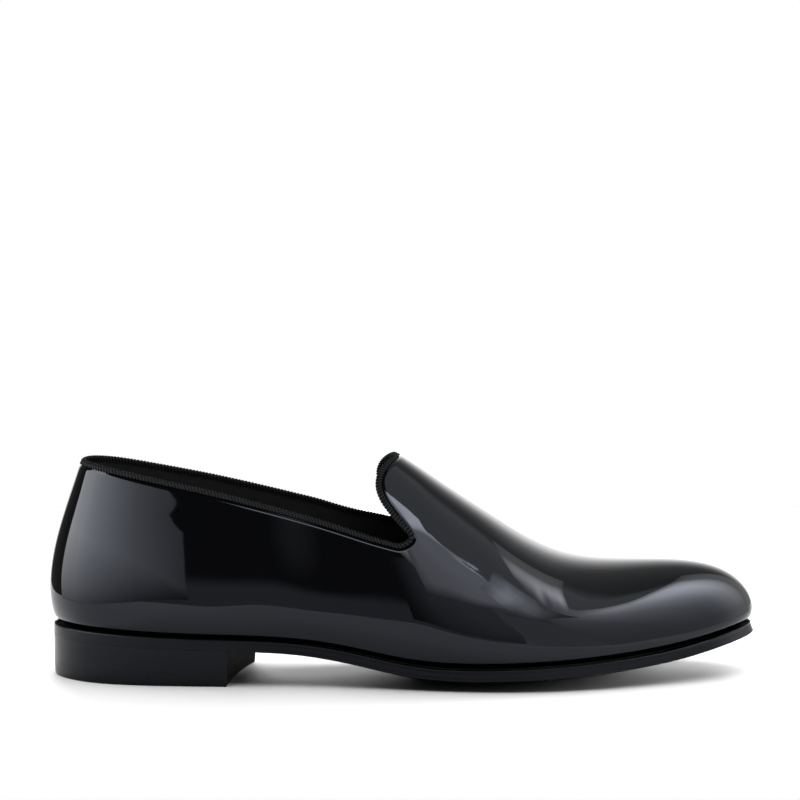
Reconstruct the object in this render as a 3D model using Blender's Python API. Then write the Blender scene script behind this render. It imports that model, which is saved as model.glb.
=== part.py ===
"""Right-foot evening slipper: a glossy upper with a ribbon-bound collar, on a leather sole with a low heel.

The tables are in millimetres or percent, and the meshes in metres. +X runs from heel to toe, +Y points to the
inner side of the foot and +Z up. The floor is z = 0, and the origin lies under the middle of the shoe's box.
"""

import bpy
import numpy as np

MM = 0.001

# Driving dimensions, in millimetres
LENGTH = 300.0  # outsole, heel to toe
BALL_WIDTH = 100.0  # outsole, across the ball
INSTEP_HEIGHT = 95.0  # top of the throat above the floor
HEEL_HEIGHT = 22.0  # top of the sole at the back, above the floor
WALL = 1.8  # upper leather with its lining
COLLAR_WALL = 1.3  # the same, skived thin at the collar
SKIVE = 12.0  # depth of the skived strip below the collar
SOLE = 4.7  # outsole
TOP_PIECE = 6.0  # lowest lift of the heel
INSOLE = 3.0
INSOLE_REACH = 0.9  # share of the sole's half width that the insole covers
RIBBON = 0.5  # thickness of the collar binding
RIBBON_LEG = 2.9  # how far the binding reaches down each side of the collar
FIT = 0.3  # clear gap between two pieces that meet
RIBBON_FIT = 0.25  # the same, between the binding and the collar

# Form of the last
BULGE_LOW = 0.65  # under 1, the widest part of a wall lies low
WALL_LEAN = 1.5  # over 1, a wall leans in mostly near the collar
TOE_ROUND_START = 85.0  # percent of length, where the toe starts to close
TOE_ROUND_POWER = 3.4  # higher for a blunter toe
QUARTER_END, VAMP_START = 35.0, 55.0  # percent of length, from side walls to arched vamp
LEAVE, ARRIVE = 0.12, 0.18  # how long a vamp line keeps square to its foot, and to the collar, per length
TUCK, TUCK_HEIGHT = 1.2, 1.8  # how the upper turns in at its foot

# Heel
BREAST_OUTER, BREAST_INNER = 25.5, 28.4  # percent of length, front of the heel on its outer and inner side
BREAST_HOLLOW = 1.5  # how far the front of the heel curves back in its middle
HEEL_TAPER = 0.6  # how far the heel narrows to the floor

# Edge of the sole
TOP_INSET = 0.7  # how far the top of the edge is rounded in
EDGE_FADE = (24.0, 36.0)  # percent of length, over which the groove in the edge runs out towards the heel

# How finely the pieces are faceted
LINES_PER_NODE = 3
LEVELS = 13
LEVELS_LOW = 1.7  # over 1, the levels lie closer together near the sole
RIM_LEVEL = 0.965  # one more level just below the collar
FINER = 4  # how many times finer the upper is worked out than it is faceted
RIM_LEVELS = 4  # levels that the collar binding is laid on
CROSS = 9
SOLE_ROWS = 36
INSOLE_ROWS = 26
HEEL_ROWS = 14
STEPS = 240  # places along a line of the upper
DENSE = 1440  # places round a loop
SHARP = 35.0  # degrees, over which an edge is shaded as a crease


def table(columns, *rows):
    """A dictionary from each column's name to an array of its values."""
    return dict(zip(columns, np.array(rows, float).T))


# The edge of the sole: how far it is drawn in, at a share of its thickness below its top
EDGE = table(
    ("inset", "groove", "down"),
    (0.15, 0.00, 0.05),
    (0.00, 0.00, 0.16),
    (0.00, 0.45, 0.30),
    (0.00, 0.45, 0.40),
    (0.10, 0.00, 0.62),
    (0.00, 0.00, 0.86),
)

# Where the upper meets the sole, seen from above, as distances from the axis. A percent of length, then
# percents of the ball width, then how far the wall stands out above that line in millimetres.
FEATHER = table(
    ("along", "outer", "inner", "outer_bulge", "inner_bulge"),
    (2.6, 12.8, 17.4, 4.7, 4.6),
    (6.5, 24.3, 26.6, 3.9, 3.8),
    (13.0, 31.4, 29.5, 3.4, 3.2),
    (20.0, 34.0, 28.0, 3.4, 3.4),
    (27.0, 35.3, 25.2, 3.6, 4.2),
    (37.0, 37.0, 23.2, 4.2, 5.4),
    (47.0, 41.6, 27.8, 4.8, 5.4),
    (55.0, 46.0, 35.0, 5.0, 4.6),
    (63.0, 48.4, 42.3, 4.6, 4.0),
    (68.0, 47.8, 45.2, 4.2, 3.8),
    (73.0, 45.2, 46.2, 3.8, 3.4),
    (80.0, 38.0, 44.0, 3.2, 3.0),
    (87.0, 28.4, 38.6, 2.6, 2.6),
    (92.0, 20.4, 32.4, 2.3, 2.3),
    (96.2, 11.2, 24.0, 2.4, 2.3),
)
HEEL_TIP = table(("along", "inner", "bulge"), (0.8, 3.0, 5.2))
TOE_TIP = table(("along", "inner", "bulge"), (99.3, 6.5, 2.7))

# Top of the last along its ridge, which over the opening is the height that the closed form would have.
# Heights are percents of the instep height. The crest is how far the ridge lies towards the inner side.
RIDGE = table(
    ("along", "height", "fullness", "crest"),
    (30.0, 126.0, 0.30, 0.00),
    (40.0, 114.5, 0.26, 0.00),
    (46.0, 105.8, 0.22, 0.02),
    (48.7, 100.9, 0.21, 0.03),
    (52.0, 94.3, 0.20, 0.04),
    (55.3, 86.9, 0.20, 0.06),
    (58.7, 79.5, 0.20, 0.08),
    (62.3, 72.0, 0.20, 0.10),
    (65.7, 65.0, 0.19, 0.12),
    (69.0, 59.1, 0.18, 0.13),
    (72.3, 54.5, 0.17, 0.14),
    (76.7, 51.3, 0.15, 0.14),
    (81.7, 50.4, 0.13, 0.13),
    (86.0, 50.5, 0.12, 0.11),
    (93.0, 50.8, 0.12, 0.07),
    (99.0, 53.0, 0.12, 0.04),
)

# The collar along one side, from the back of the heel. Half widths are from the middle of the last, the lift
# is how much higher the inner side is, and the foot is the place on the feather line, in percent of length.
QUARTER_COLLAR = table(
    ("along", "outer", "inner", "height", "lift", "foot"),
    (4.2, 0.0, 0.0, 92.0, 0.0, 0.0),
    (5.1, 11.0, 11.0, 91.8, 0.2, 2.6),
    (8.0, 19.0, 19.0, 90.4, 0.6, 6.6),
    (14.0, 23.6, 22.6, 86.9, 1.2, 14.0),
    (21.7, 24.8, 23.0, 82.2, 1.8, 22.0),
    (30.0, 26.0, 24.2, 76.4, 2.2, 30.4),
)
# The rest of it as seen from the side, round the notch and up to the middle of the throat
THROAT_COLLAR = table(
    ("along", "height", "lift", "foot"),
    (38.3, 69.8, 2.4, 38.8),
    (45.2, 63.8, 2.6, 45.8),
    (48.6, 61.2, 2.8, 49.8),
    (50.2, 61.2, 2.6, 52.5),
    (51.1, 63.6, 2.2, 56.0),
    (50.3, 66.6, 1.6, 62.0),
    (49.1, 69.6, 1.0, 69.5),
    (47.7, 74.2, 0.5, 76.0),
    (46.6, 79.4, 0.2, 81.5),
    (46.2, 83.8, 0.0, 86.0),
    (46.4, 88.0, 0.0, 90.0),
    (47.2, 91.8, 0.0, 93.8),
    (48.2, 94.3, 0.0, 97.0),
    (48.8, 95.2, 0.0, 100.0),
)

# The sole: height of its lower edge, how far its middle hangs below its edges, and how far it reaches past
# the foot of the upper, in millimetres
SOLE_FORM = table(
    ("along", "rise", "sag", "margin"),
    (0.0, HEEL_HEIGHT - SOLE, 0.8, 2.2),
    (8.0, 16.6, 0.9, 1.7),
    (15.0, 15.8, 1.0, 1.4),
    (22.0, 15.2, 1.3, 1.3),
    (29.0, 14.7, 2.0, 1.4),
    (36.0, 13.4, 3.0, 1.6),
    (43.0, 10.3, 3.8, 2.0),
    (50.0, 6.3, 4.6, 2.4),
    (55.0, 4.8, 5.2, 2.7),
    (62.0, 4.6, 5.4, 2.8),
    (70.0, 5.4, 5.8, 2.8),
    (78.0, 6.9, 5.6, 2.7),
    (85.0, 8.8, 4.2, 2.6),
    (91.0, 11.6, 2.8, 2.6),
    (96.0, 14.9, 1.6, 2.6),
    (100.0, 17.4, 0.8, 2.6),
)


def spline(knots, values, at):
    """Values at the places given, on the smooth curve through the knots whose ends are straight."""
    count, gaps = len(knots), np.diff(knots)
    values = np.asarray(values, float).reshape(count, -1)
    inside = np.arange(1, count - 1)
    system = np.zeros((count, count))
    system[0, 0] = system[-1, -1] = 1.0
    system[inside, inside - 1] = gaps[:-1]
    system[inside, inside] = 2.0 * (gaps[:-1] + gaps[1:])
    system[inside, inside + 1] = gaps[1:]
    turns = np.zeros_like(values)
    turns[1:-1] = 6.0 * np.diff(np.diff(values, axis=0) / gaps[:, None], axis=0)
    bends = np.linalg.solve(system, turns)
    at = np.asarray(at, float)
    left = np.clip(np.searchsorted(knots, at) - 1, 0, count - 2)
    span = gaps[left][..., None]
    near = (np.asarray(knots)[left + 1] - at)[..., None] / span
    far = 1.0 - near
    cubic = (near**3 - near) * bends[left] + (far**3 - far) * bends[left + 1]
    return near * values[left] + far * values[left + 1] + cubic * span**2 / 6.0


def closed_spline(knots, values, period, at, shift=0.0):
    """The same on a loop: a few knots are repeated past each end, where each turn adds the shift."""
    wrap = 6
    knots, values = np.asarray(knots, float), np.asarray(values, float).reshape(len(knots), -1)
    more_knots = np.concatenate([knots[-wrap:] - period, knots, knots[:wrap] + period])
    more_values = np.concatenate([values[-wrap:] - shift, values, values[:wrap] + shift])
    return spline(more_knots, more_values, at)


def loop_through(points, count):
    """A dense smooth loop through points, spaced by chord length seen from above."""
    steps = np.linalg.norm(np.diff(np.vstack([points, points[:1]])[:, :2], axis=0), axis=1)
    places = np.concatenate([[0.0], np.cumsum(steps)]) / steps.sum()
    return closed_spline(places[:-1], points, 1.0, np.arange(count) / count)


def on_loop(dense, place):
    """Points of a dense loop at places from 0 to 1."""
    place = np.mod(place, 1.0) * len(dense)
    low = np.floor(place).astype(int)
    share = (place - low)[..., None]
    return dense[low % len(dense)] * (1.0 - share) + dense[(low + 1) % len(dense)] * share


def percent(value, whole):
    return np.asarray(value) * whole / 100.0


def smooth_step(value, low, high):
    share = np.clip((value - low) / (high - low), 0.0, 1.0)
    return share * share * (3.0 - 2.0 * share)


class Feather:
    """The line where upper and sole meet: a loop from the heel by the outer side, round the toe and back."""

    def __init__(self):
        along = percent(FEATHER["along"], LENGTH)
        outer = np.stack([along, -percent(FEATHER["outer"], BALL_WIDTH), FEATHER["outer_bulge"]], 1)
        inner = np.stack([along, percent(FEATHER["inner"], BALL_WIDTH), FEATHER["inner_bulge"]], 1)
        tips = [
            np.stack([percent(tip["along"], LENGTH), percent(tip["inner"], BALL_WIDTH), tip["bulge"]], 1)
            for tip in (HEEL_TIP, TOE_TIP)
        ]
        dense = loop_through(np.vstack([tips[0], outer, tips[1], inner[::-1]]), DENSE)
        dense = np.roll(dense, -int(dense[:, 0].argmin()), axis=0)
        tangent = np.roll(dense, -1, 0)[:, :2] - np.roll(dense, 1, 0)[:, :2]
        tangent /= np.linalg.norm(tangent, axis=1, keepdims=True)
        normal = np.stack([tangent[:, 1], -tangent[:, 0]], 1)
        self.dense = np.hstack([dense, normal])
        self.toe = int(dense[:, 0].argmax())
        self.tip = dense[self.toe, 0]
        self.back = dense[0, 0]

    def place(self, x, inner):
        """Places on the loop of the points of one side at x."""
        rows = np.arange(self.toe, len(self.dense) + 1)[::-1] if inner else np.arange(self.toe + 1)
        return np.interp(x, self.dense[rows % len(self.dense), 0], rows / len(self.dense))

    def at(self, place):
        """Plan point, bulge and outward direction at places on the loop."""
        found = on_loop(self.dense, place)
        return found[..., :2], found[..., 2], found[..., 3:]

    def across(self, x):
        """Middle and half width of the last at x."""
        outer = self.at(self.place(x, False))[0][..., 1]
        inner = self.at(self.place(x, True))[0][..., 1]
        return (inner + outer) / 2.0, np.maximum((inner - outer) / 2.0, 1e-6)


def sole_form(x, name):
    return spline(percent(SOLE_FORM["along"], LENGTH), SOLE_FORM[name], np.clip(x, 0.0, LENGTH))[..., 0]


def sole_under(x, q):
    """Height of the sole's underside before it is worn flat, at x and at q from -1 to 1 across it."""
    return sole_form(x, "rise") - sole_form(x, "sag") * (1.0 - np.square(q))


def sole_over(x, q):
    return sole_under(x, q) + SOLE


def upper_foot(x):
    """Height at which the upper starts."""
    return sole_form(x, "rise") + SOLE + FIT


def ridge(x, name):
    along = percent(RIDGE["along"], LENGTH)
    return spline(along, RIDGE[name], np.clip(x, along[0], along[-1]))[..., 0]


def arched_vamp(feather, x, y):
    """Height of the arched front of the last over a plan point, and that height as a share of the ridge's."""
    middle, half = feather.across(x)
    q = np.clip((y - middle) / half, -1.0, 1.0)
    q = q - ridge(x, "crest") * (1.0 - q * q)
    arch = np.sqrt(np.clip(1.0 - q * q, 0.0, 1.0)) * (1.0 + ridge(x, "fullness") * q * q)
    start = percent(TOE_ROUND_START, LENGTH)
    closing = np.clip((x - start) / (feather.tip - start), 0.0, 1.0)
    share = arch * np.sqrt(1.0 - closing**TOE_ROUND_POWER)
    full = percent(ridge(x, "height"), INSTEP_HEIGHT) - upper_foot(x)
    return upper_foot(x) + full * share, share


def swell(share):
    """How a wall stands out, from 0 at its foot to 1 at its widest and 0 at its top."""
    return np.sin(np.pi * np.clip(share, 0.0, 1.0) ** BULGE_LOW)


def vamp_side(feather, x, height, side):
    """Where the arched vamp has a height, on its outer side for -1 and its inner side for 1."""
    middle, half = feather.across(x)
    q = np.linspace(1.0, 0.0, STEPS + 1)
    y = middle[:, None] + side * half[:, None] * q
    heights, _ = arched_vamp(feather, np.broadcast_to(x[:, None], y.shape), y)
    return np.array([np.interp(want, rise, place) for want, rise, place in zip(height, heights, y)])


def collar_loop(feather):
    """The collar as a smooth loop, its nodes' places on it, and their feet's places on the feather line."""
    quarter, throat = QUARTER_COLLAR, THROAT_COLLAR
    names = ("along", "height", "lift", "foot")
    x, height, lift, foot = (np.concatenate([quarter[name], throat[name]]) for name in names)
    x, foot = percent(x, LENGTH), percent(foot, LENGTH)
    middle, _ = feather.across(x)
    behind = len(quarter["along"])
    sides = []
    for side, name, level in ((-1.0, "outer", height), (1.0, "inner", height + lift)):
        wall = middle[:behind] + side * quarter[name]
        vamp = vamp_side(feather, x[behind:], level[behind:], side)
        sides.append(np.stack([x, np.concatenate([wall, vamp]), level], 1))
    nodes = np.vstack([sides[0], sides[1][-2:0:-1]])
    lengths = np.linalg.norm(np.roll(nodes, -1, 0) - nodes, axis=1)
    places = np.concatenate([[0.0], np.cumsum(lengths)[:-1]]) / lengths.sum()
    dense = closed_spline(places, nodes, 1.0, np.arange(DENSE) / DENSE)
    feet = np.concatenate([feather.place(foot, False), feather.place(foot[-2:0:-1], True)])
    feet[len(x) - 1] = feather.toe / len(feather.dense)
    return dense, places, feet


def along_lines(points, shares):
    """Each line of points taken again at the same shares of its own length."""
    steps = np.linalg.norm(np.diff(points, axis=1), axis=2)
    lengths = np.concatenate([np.zeros((len(points), 1)), np.cumsum(steps, 1)], 1)
    lengths /= lengths[:, -1:]
    order = 2.0 * np.arange(len(points))[:, None]
    wanted = np.broadcast_to(shares, (len(points), len(shares))) + order
    columns = [np.interp(wanted, (lengths + order).ravel(), points[..., axis].ravel()) for axis in range(3)]
    return np.stack(columns, 2)


def bent_lines(corners, step):
    """Smooth lines that leave their first corner towards the second and reach the fourth from the third."""
    weights = ((1.0 - step) ** 3, 3.0 * step * (1.0 - step) ** 2, 3.0 * step**2 * (1.0 - step), step**3)
    return sum(corner[:, None, :] * weight[:, None] for corner, weight in zip(corners, weights))


def away_from_opening(feather, collar):
    """Directions, seen from above, that lead on the vamp square away from the collar."""
    along = np.roll(collar, -1, 0) - np.roll(collar, 1, 0)
    slopes = []
    for step in np.eye(2) * FIT:
        (ahead, _), (behind, _) = (arched_vamp(feather, *(collar[:, :2] + sign * step).T) for sign in (1, -1))
        slopes.append((behind - ahead) / (2.0 * FIT))
    away = np.cross(along, np.column_stack([*slopes, np.ones(len(collar))]))
    return away[:, :2] / np.linalg.norm(away, axis=1, keepdims=True)


def upper_surface(feather, lines_per_node, shares):
    """Outer face of the upper: lines from the feather line to the collar, in order round the shoe."""
    dense, places, feet = collar_loop(feather)
    index = np.arange(len(places) * lines_per_node) / lines_per_node
    nodes, count = np.arange(len(places)), len(places)
    collar = on_loop(dense, closed_spline(nodes, places, count, index, 1.0)[:, 0])
    foot, bulge, out = feather.at(closed_spline(nodes, feet, count, index, 1.0)[:, 0])
    start = upper_foot(foot[:, 0])
    arched = smooth_step(foot[:, 0], percent(QUARTER_END, LENGTH), percent(VAMP_START, LENGTH))
    vamp_top, _ = arched_vamp(feather, collar[:, 0], collar[:, 1])
    top = collar[:, 2] * (1.0 - arched) + vamp_top * arched
    step = np.linspace(0.0, 1.0, STEPS + 1)
    reach = (collar[:, :2] - foot)[:, None, :]

    def standing_out(plan, share, height):
        tuck = TUCK * np.exp(-np.square((height - start[:, None]) / TUCK_HEIGHT))
        amount = bulge[:, None] * swell(share) - tuck
        return np.dstack([plan + out[:, None, :] * amount[..., None], height])

    share = np.broadcast_to(step, (len(index), len(step)))
    rise = start[:, None] + (top - start)[:, None] * share
    side = standing_out(foot[:, None, :] + reach * share[..., None] ** WALL_LEAN, share, rise)
    length = np.linalg.norm(reach[:, 0], axis=1)[:, None]
    leave = foot - out * length * LEAVE
    arrive = collar[:, :2] + away_from_opening(feather, collar) * length * ARRIVE
    plan = bent_lines((foot, leave, arrive, collar[:, :2]), np.square(step))
    height, risen = arched_vamp(feather, plan[..., 0], plan[..., 1])
    vamp = standing_out(plan, risen, height)
    weight = arched[:, None, None]
    return along_lines(side, shares) * (1.0 - weight) + along_lines(vamp, shares) * weight


def face_normals(grid):
    """Outward directions on a grid of lines that closes round the shoe."""
    round_shoe = np.roll(grid, -1, 0) - np.roll(grid, 1, 0)
    normal = np.cross(round_shoe, np.gradient(grid, axis=1))
    return normal / np.linalg.norm(normal, axis=2, keepdims=True)


def inner_surface(grid):
    """Inner face of the upper, one wall in from its outer face."""
    steps = np.linalg.norm(np.diff(grid[:, ::-1], axis=1), axis=2)
    below = np.concatenate([np.zeros((len(grid), 1)), np.cumsum(steps, 1)], 1)[:, ::-1]
    wall = COLLAR_WALL + (WALL - COLLAR_WALL) * smooth_step(below, 0.0, SKIVE)
    return grid - face_normals(grid) * wall[..., None]


def ring_faces(count, first, second):
    """Quads between two loops of the same count, seen with the first loop below the second."""
    now = np.arange(count)
    then = (now + 1) % count
    return np.stack([first + now, first + then, second + then, second + now], 1).tolist()


def tube(loops):
    """Points and faces of a closed skin through loops, whose last loop joins its first."""
    count, size = loops.shape[:2]
    faces = []
    for loop in range(count):
        faces += ring_faces(size, loop * size, (loop + 1) % count * size)
    return loops.reshape(-1, 3), faces


def upper_faces(feather):
    """Outer and inner face of the upper on a grid that is finer than its facets."""
    shares = np.append(np.linspace(0.0, 1.0, LEVELS - 1) ** LEVELS_LOW, RIM_LEVEL)
    shares.sort()
    between = np.linspace(0.0, LEVELS - 1.0, (LEVELS - 1) * FINER + 1)
    outside = upper_surface(feather, LINES_PER_NODE * FINER, np.interp(between, np.arange(LEVELS), shares))
    return outside, inner_surface(outside)


def upper_mesh(outside, inside):
    outer_loops, inner_loops = (face[::FINER, ::FINER].transpose(1, 0, 2) for face in (outside, inside))
    return tube(np.concatenate([outer_loops, inner_loops[::-1]]))


def laid_on(guides, surface, side, stand_off):
    """Guide points moved along the nearest normal until they stand off the surface, outside for side 1."""
    points, normals = surface.reshape(-1, 3), side * face_normals(surface).reshape(-1, 3)
    nearest = np.linalg.norm(guides[:, None, :] - points[None], axis=2).argmin(axis=1)
    lift = ((guides - points[nearest]) * normals[nearest]).sum(axis=1)
    return guides + normals[nearest] * (stand_off - lift)[:, None]


def binding_mesh(outside, inside):
    """A folded ribbon over the collar's edge, carried round the opening."""
    rim = (outside[::FINER, -1] + inside[::FINER, -1]) / 2.0
    along = np.roll(rim, -1, 0) - np.roll(rim, 1, 0)
    along /= np.linalg.norm(along, axis=1, keepdims=True)
    out = outside[::FINER, -1] - inside[::FINER, -1]
    out -= along * (out * along).sum(1, keepdims=True)
    out /= np.linalg.norm(out, axis=1, keepdims=True)
    down = np.cross(along, out)
    near = COLLAR_WALL / 2.0 + RIBBON_FIT
    far = near + RIBBON
    top = RIBBON_FIT + RIBBON
    skirt, lining = (face[:, -RIM_LEVELS * FINER :] for face in (outside, inside))
    outer_foot = rim + out * near + down * RIBBON_LEG
    inner_foot = rim - out * near + down * RIBBON_LEG
    fold = ((far, 0.0), (0.0, -top), (-far, 0.0))
    loops = [
        laid_on(inner_foot, lining, -1.0, RIBBON_FIT),
        rim - out * near - down * RIBBON_FIT,
        rim + out * near - down * RIBBON_FIT,
        laid_on(outer_foot, skirt, 1.0, RIBBON_FIT),
        laid_on(outer_foot, skirt, 1.0, RIBBON_FIT + RIBBON),
        *(rim + out * across + down * fall for across, fall in fold),
        laid_on(inner_foot, lining, -1.0, RIBBON_FIT + RIBBON),
    ]
    return tube(np.stack(loops))


def rung_ladder(feather, x, offset):
    """Plan points of rows across the shoe, from its outer side to its inner, offset from the feather line."""
    sides = []
    for inner in (False, True):
        plan, _, out = feather.at(feather.place(x, inner))
        sides.append(plan + out * np.broadcast_to(offset, x.shape)[:, None])
    share = np.linspace(0.0, 1.0, CROSS)[None, :, None]
    return sides[0][:, None, :] * (1.0 - share) + sides[1][:, None, :] * share


def rows_along(first, last, count):
    """Places along the shoe, closer together near a rounded end."""
    turn = np.linspace(0.0, np.pi, count)
    return first + (last - first) * (1.0 - np.cos(turn)) / 2.0


def plate(rows, low, high, edge=None):
    """A closed plate on rows of plan points, whose first row, and last if it is a tip, is one point."""
    count, across = rows.shape[:2]
    tips = np.ptp(rows, axis=1).max(axis=1) < 1e-6
    index = np.arange(count * across).reshape(count, across)
    index[tips] = index[tips][:, :1]
    end = [] if tips[-1] else index[-1, 1:-1].tolist()
    rim = index[:, 0].tolist() + end + index[:0:-1, -1].tolist()
    if tips[-1]:
        rim = index[:, 0].tolist() + index[-2:0:-1, -1].tolist()
    points = [np.dstack([rows, high]).reshape(-1, 3), np.dstack([rows, low]).reshape(-1, 3)]
    size = count * across
    quads = np.stack([index[:-1, :-1], index[1:, :-1], index[1:, 1:], index[:-1, 1:]], -1).reshape(-1, 4)
    faces = quads.tolist() + (quads[:, ::-1] + size).tolist()
    loops = [np.array(rim)]
    for ring in edge if edge is not None else ():
        loops.append(np.arange(len(rim)) + sum(len(part) for part in points))
        points.append(ring)
    loops.append(np.array(rim) + size)
    for over, under in zip(loops[:-1], loops[1:]):
        faces += np.stack([under, np.roll(under, -1), np.roll(over, -1), over], 1).tolist()
    return np.vstack(points), [list(dict.fromkeys(face)) for face in faces]


def outsole_mesh(feather):
    x = rows_along(feather.back, feather.tip, SOLE_ROWS)
    rows = rung_ladder(feather, x, sole_form(x, "margin") - TOP_INSET)
    q = np.broadcast_to(np.linspace(-1.0, 1.0, CROSS), rows.shape[:2])
    high = sole_over(rows[..., 0], q)
    low = np.maximum(sole_under(rows[..., 0], q), 0.0)
    place = np.concatenate([feather.place(x, False), feather.place(x[-2:0:-1], True)])
    plan, _, out = feather.at(place)
    reach = sole_form(plan[:, 0], "margin")
    grooved = smooth_step(plan[:, 0], *percent(EDGE_FADE, LENGTH))
    edge = []
    for inset, groove, down in zip(*EDGE.values()):
        ring = plan + out * (reach - inset - groove * grooved)[:, None]
        edge.append(np.column_stack([ring, sole_over(ring[:, 0], 1.0) - SOLE * down]))
    return plate(rows, low, high, edge)


def heel_rows(feather, taper=0.0):
    """Rows across the heel, which turn towards its slanting front, drawn in by a taper."""
    share = 1.0 - np.cos(np.linspace(0.0, np.pi / 2.0, HEEL_ROWS))
    sides = []
    for inner, front in ((False, BREAST_OUTER), (True, BREAST_INNER)):
        x = feather.back + (percent(front, LENGTH) - feather.back) * share
        plan, _, out = feather.at(feather.place(x, inner))
        sides.append(plan + out * (sole_form(plan[:, 0], "margin") - taper)[:, None])
    across = np.linspace(0.0, 1.0, CROSS)[None, :, None]
    rows = sides[0][:, None, :] * (1.0 - across) + sides[1][:, None, :] * across
    hollow = BREAST_HOLLOW * share[:, None] * (1.0 - np.square(np.linspace(-1.0, 1.0, CROSS)))
    rows[..., 0] -= hollow
    return rows


def heel_stack_mesh(feather):
    rows = heel_rows(feather)
    q = np.broadcast_to(np.linspace(-1.0, 1.0, CROSS), rows.shape[:2])
    high = sole_under(rows[..., 0], q) - FIT
    return plate(rows, np.full(rows.shape[:2], TOP_PIECE + FIT), high)


def top_piece_mesh(feather):
    rows = heel_rows(feather, HEEL_TAPER)
    return plate(rows, np.zeros(rows.shape[:2]), np.full(rows.shape[:2], TOP_PIECE))


def insole_mesh(feather):
    x = rows_along(feather.back, feather.tip, INSOLE_ROWS)
    rows = rung_ladder(feather, x, -(WALL + TUCK + 2.0 * FIT))
    q = np.broadcast_to(np.linspace(-INSOLE_REACH, INSOLE_REACH, CROSS), rows.shape[:2])
    low = sole_over(rows[..., 0], q) + FIT
    return plate(rows, low, low + INSOLE)


def material(name, colour, roughness, coat=0.0):
    made = bpy.data.materials.new(name)
    made.use_nodes = True
    shader = made.node_tree.nodes["Principled BSDF"]
    shader.inputs["Base Color"].default_value = (*colour, 1.0)
    shader.inputs["Roughness"].default_value = roughness
    shader.inputs["Metallic"].default_value = 0.0
    shader.inputs["Coat Weight"].default_value = coat
    return made


def add_piece(name, points, faces, finish):
    mesh = bpy.data.meshes.new(name)
    mesh.from_pydata((points * MM).tolist(), [], faces)
    mesh.validate()
    mesh.shade_smooth()
    mesh.set_sharp_from_angle(angle=np.radians(SHARP))
    mesh.materials.append(finish)
    piece = bpy.data.objects.new(name, mesh)
    bpy.context.scene.collection.objects.link(piece)
    return piece


def main():
    for old in list(bpy.data.objects):
        bpy.data.objects.remove(old, do_unlink=True)
    feather = Feather()
    outside, inside = upper_faces(feather)
    pieces = {
        "upper": (upper_mesh(outside, inside), material("patent_leather", (0.006, 0.006, 0.008), 0.06, 1.0)),
        "collar_binding": (binding_mesh(outside, inside), material("ribbon", (0.008, 0.008, 0.009), 0.75)),
        "outsole": (outsole_mesh(feather), material("sole_leather", (0.010, 0.010, 0.011), 0.42)),
        "heel_stack": (heel_stack_mesh(feather), material("heel_leather", (0.012, 0.012, 0.013), 0.38)),
        "heel_top_piece": (top_piece_mesh(feather), material("heel_rubber", (0.014, 0.014, 0.014), 0.7)),
        "insole": (insole_mesh(feather), material("lining_leather", (0.015, 0.014, 0.014), 0.6)),
    }
    every = np.vstack([points for (points, _), _ in pieces.values()])
    middle = (every.min(axis=0) + every.max(axis=0)) / 2.0
    middle[2] = 0.0
    for name, ((points, faces), finish) in pieces.items():
        add_piece(name, points - middle, faces, finish)


main()
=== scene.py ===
"""Looks of a right-foot evening slipper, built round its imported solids.

The forms are worked out in millimetres and put into meshes in metres. +X runs from heel to toe, +Y points
to the inner side of the foot and +Z up. The floor is z = 0.
"""

import logging
import math
from dataclasses import dataclass, field
from enum import Enum

import bpy
import numpy as np
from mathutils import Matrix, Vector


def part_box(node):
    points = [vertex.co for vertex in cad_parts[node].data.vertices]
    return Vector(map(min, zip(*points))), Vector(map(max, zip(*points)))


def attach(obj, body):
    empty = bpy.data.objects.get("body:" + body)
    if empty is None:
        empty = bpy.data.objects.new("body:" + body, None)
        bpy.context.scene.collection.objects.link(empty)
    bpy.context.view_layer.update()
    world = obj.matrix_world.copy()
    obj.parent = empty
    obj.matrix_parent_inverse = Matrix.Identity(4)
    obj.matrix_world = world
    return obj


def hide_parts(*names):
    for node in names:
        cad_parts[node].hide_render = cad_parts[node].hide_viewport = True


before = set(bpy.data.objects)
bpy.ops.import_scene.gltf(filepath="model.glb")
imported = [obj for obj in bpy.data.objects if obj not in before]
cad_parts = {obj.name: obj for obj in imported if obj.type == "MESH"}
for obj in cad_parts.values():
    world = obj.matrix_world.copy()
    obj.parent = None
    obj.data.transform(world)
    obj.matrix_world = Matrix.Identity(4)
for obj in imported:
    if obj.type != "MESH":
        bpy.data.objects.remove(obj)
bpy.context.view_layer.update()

LOG = logging.getLogger("slipper")
MM = 0.001
TINY = 1e-6
AXIS_X = 0
AXIS_Z = 2
BODY = "root"

Array = np.ndarray
Table = dict[str, Array]
Mesh = tuple[Array, list[list[int]]]
Point = tuple[float, float, float]
Colour = tuple[float, float, float]
Span = tuple[float, float]
Stops = tuple[tuple[float, float], ...]
Nodes = bpy.types.NodeTree
Socket = bpy.types.NodeSocket


class Side(Enum):
    """The two sides of the foot, as the sign of Y."""

    OUTER = -1.0
    INNER = 1.0


class GrainKind(Enum):
    """Textures that a finish is embossed with, by the node that makes them."""

    CLOUDS = "ShaderNodeTexNoise"
    CELLS = "ShaderNodeTexVoronoi"


# Forms of the shoe, as tables


def table(columns: tuple[str, ...], *rows: tuple[float, ...]) -> Table:
    """Names the columns of a table.

    Args:
        columns: The columns' names.
        rows: One tuple of values for each section.

    Returns:
        A dictionary from each name to an array of its column's values.
    """
    return dict(zip(columns, np.array(rows, float).T))


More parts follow.
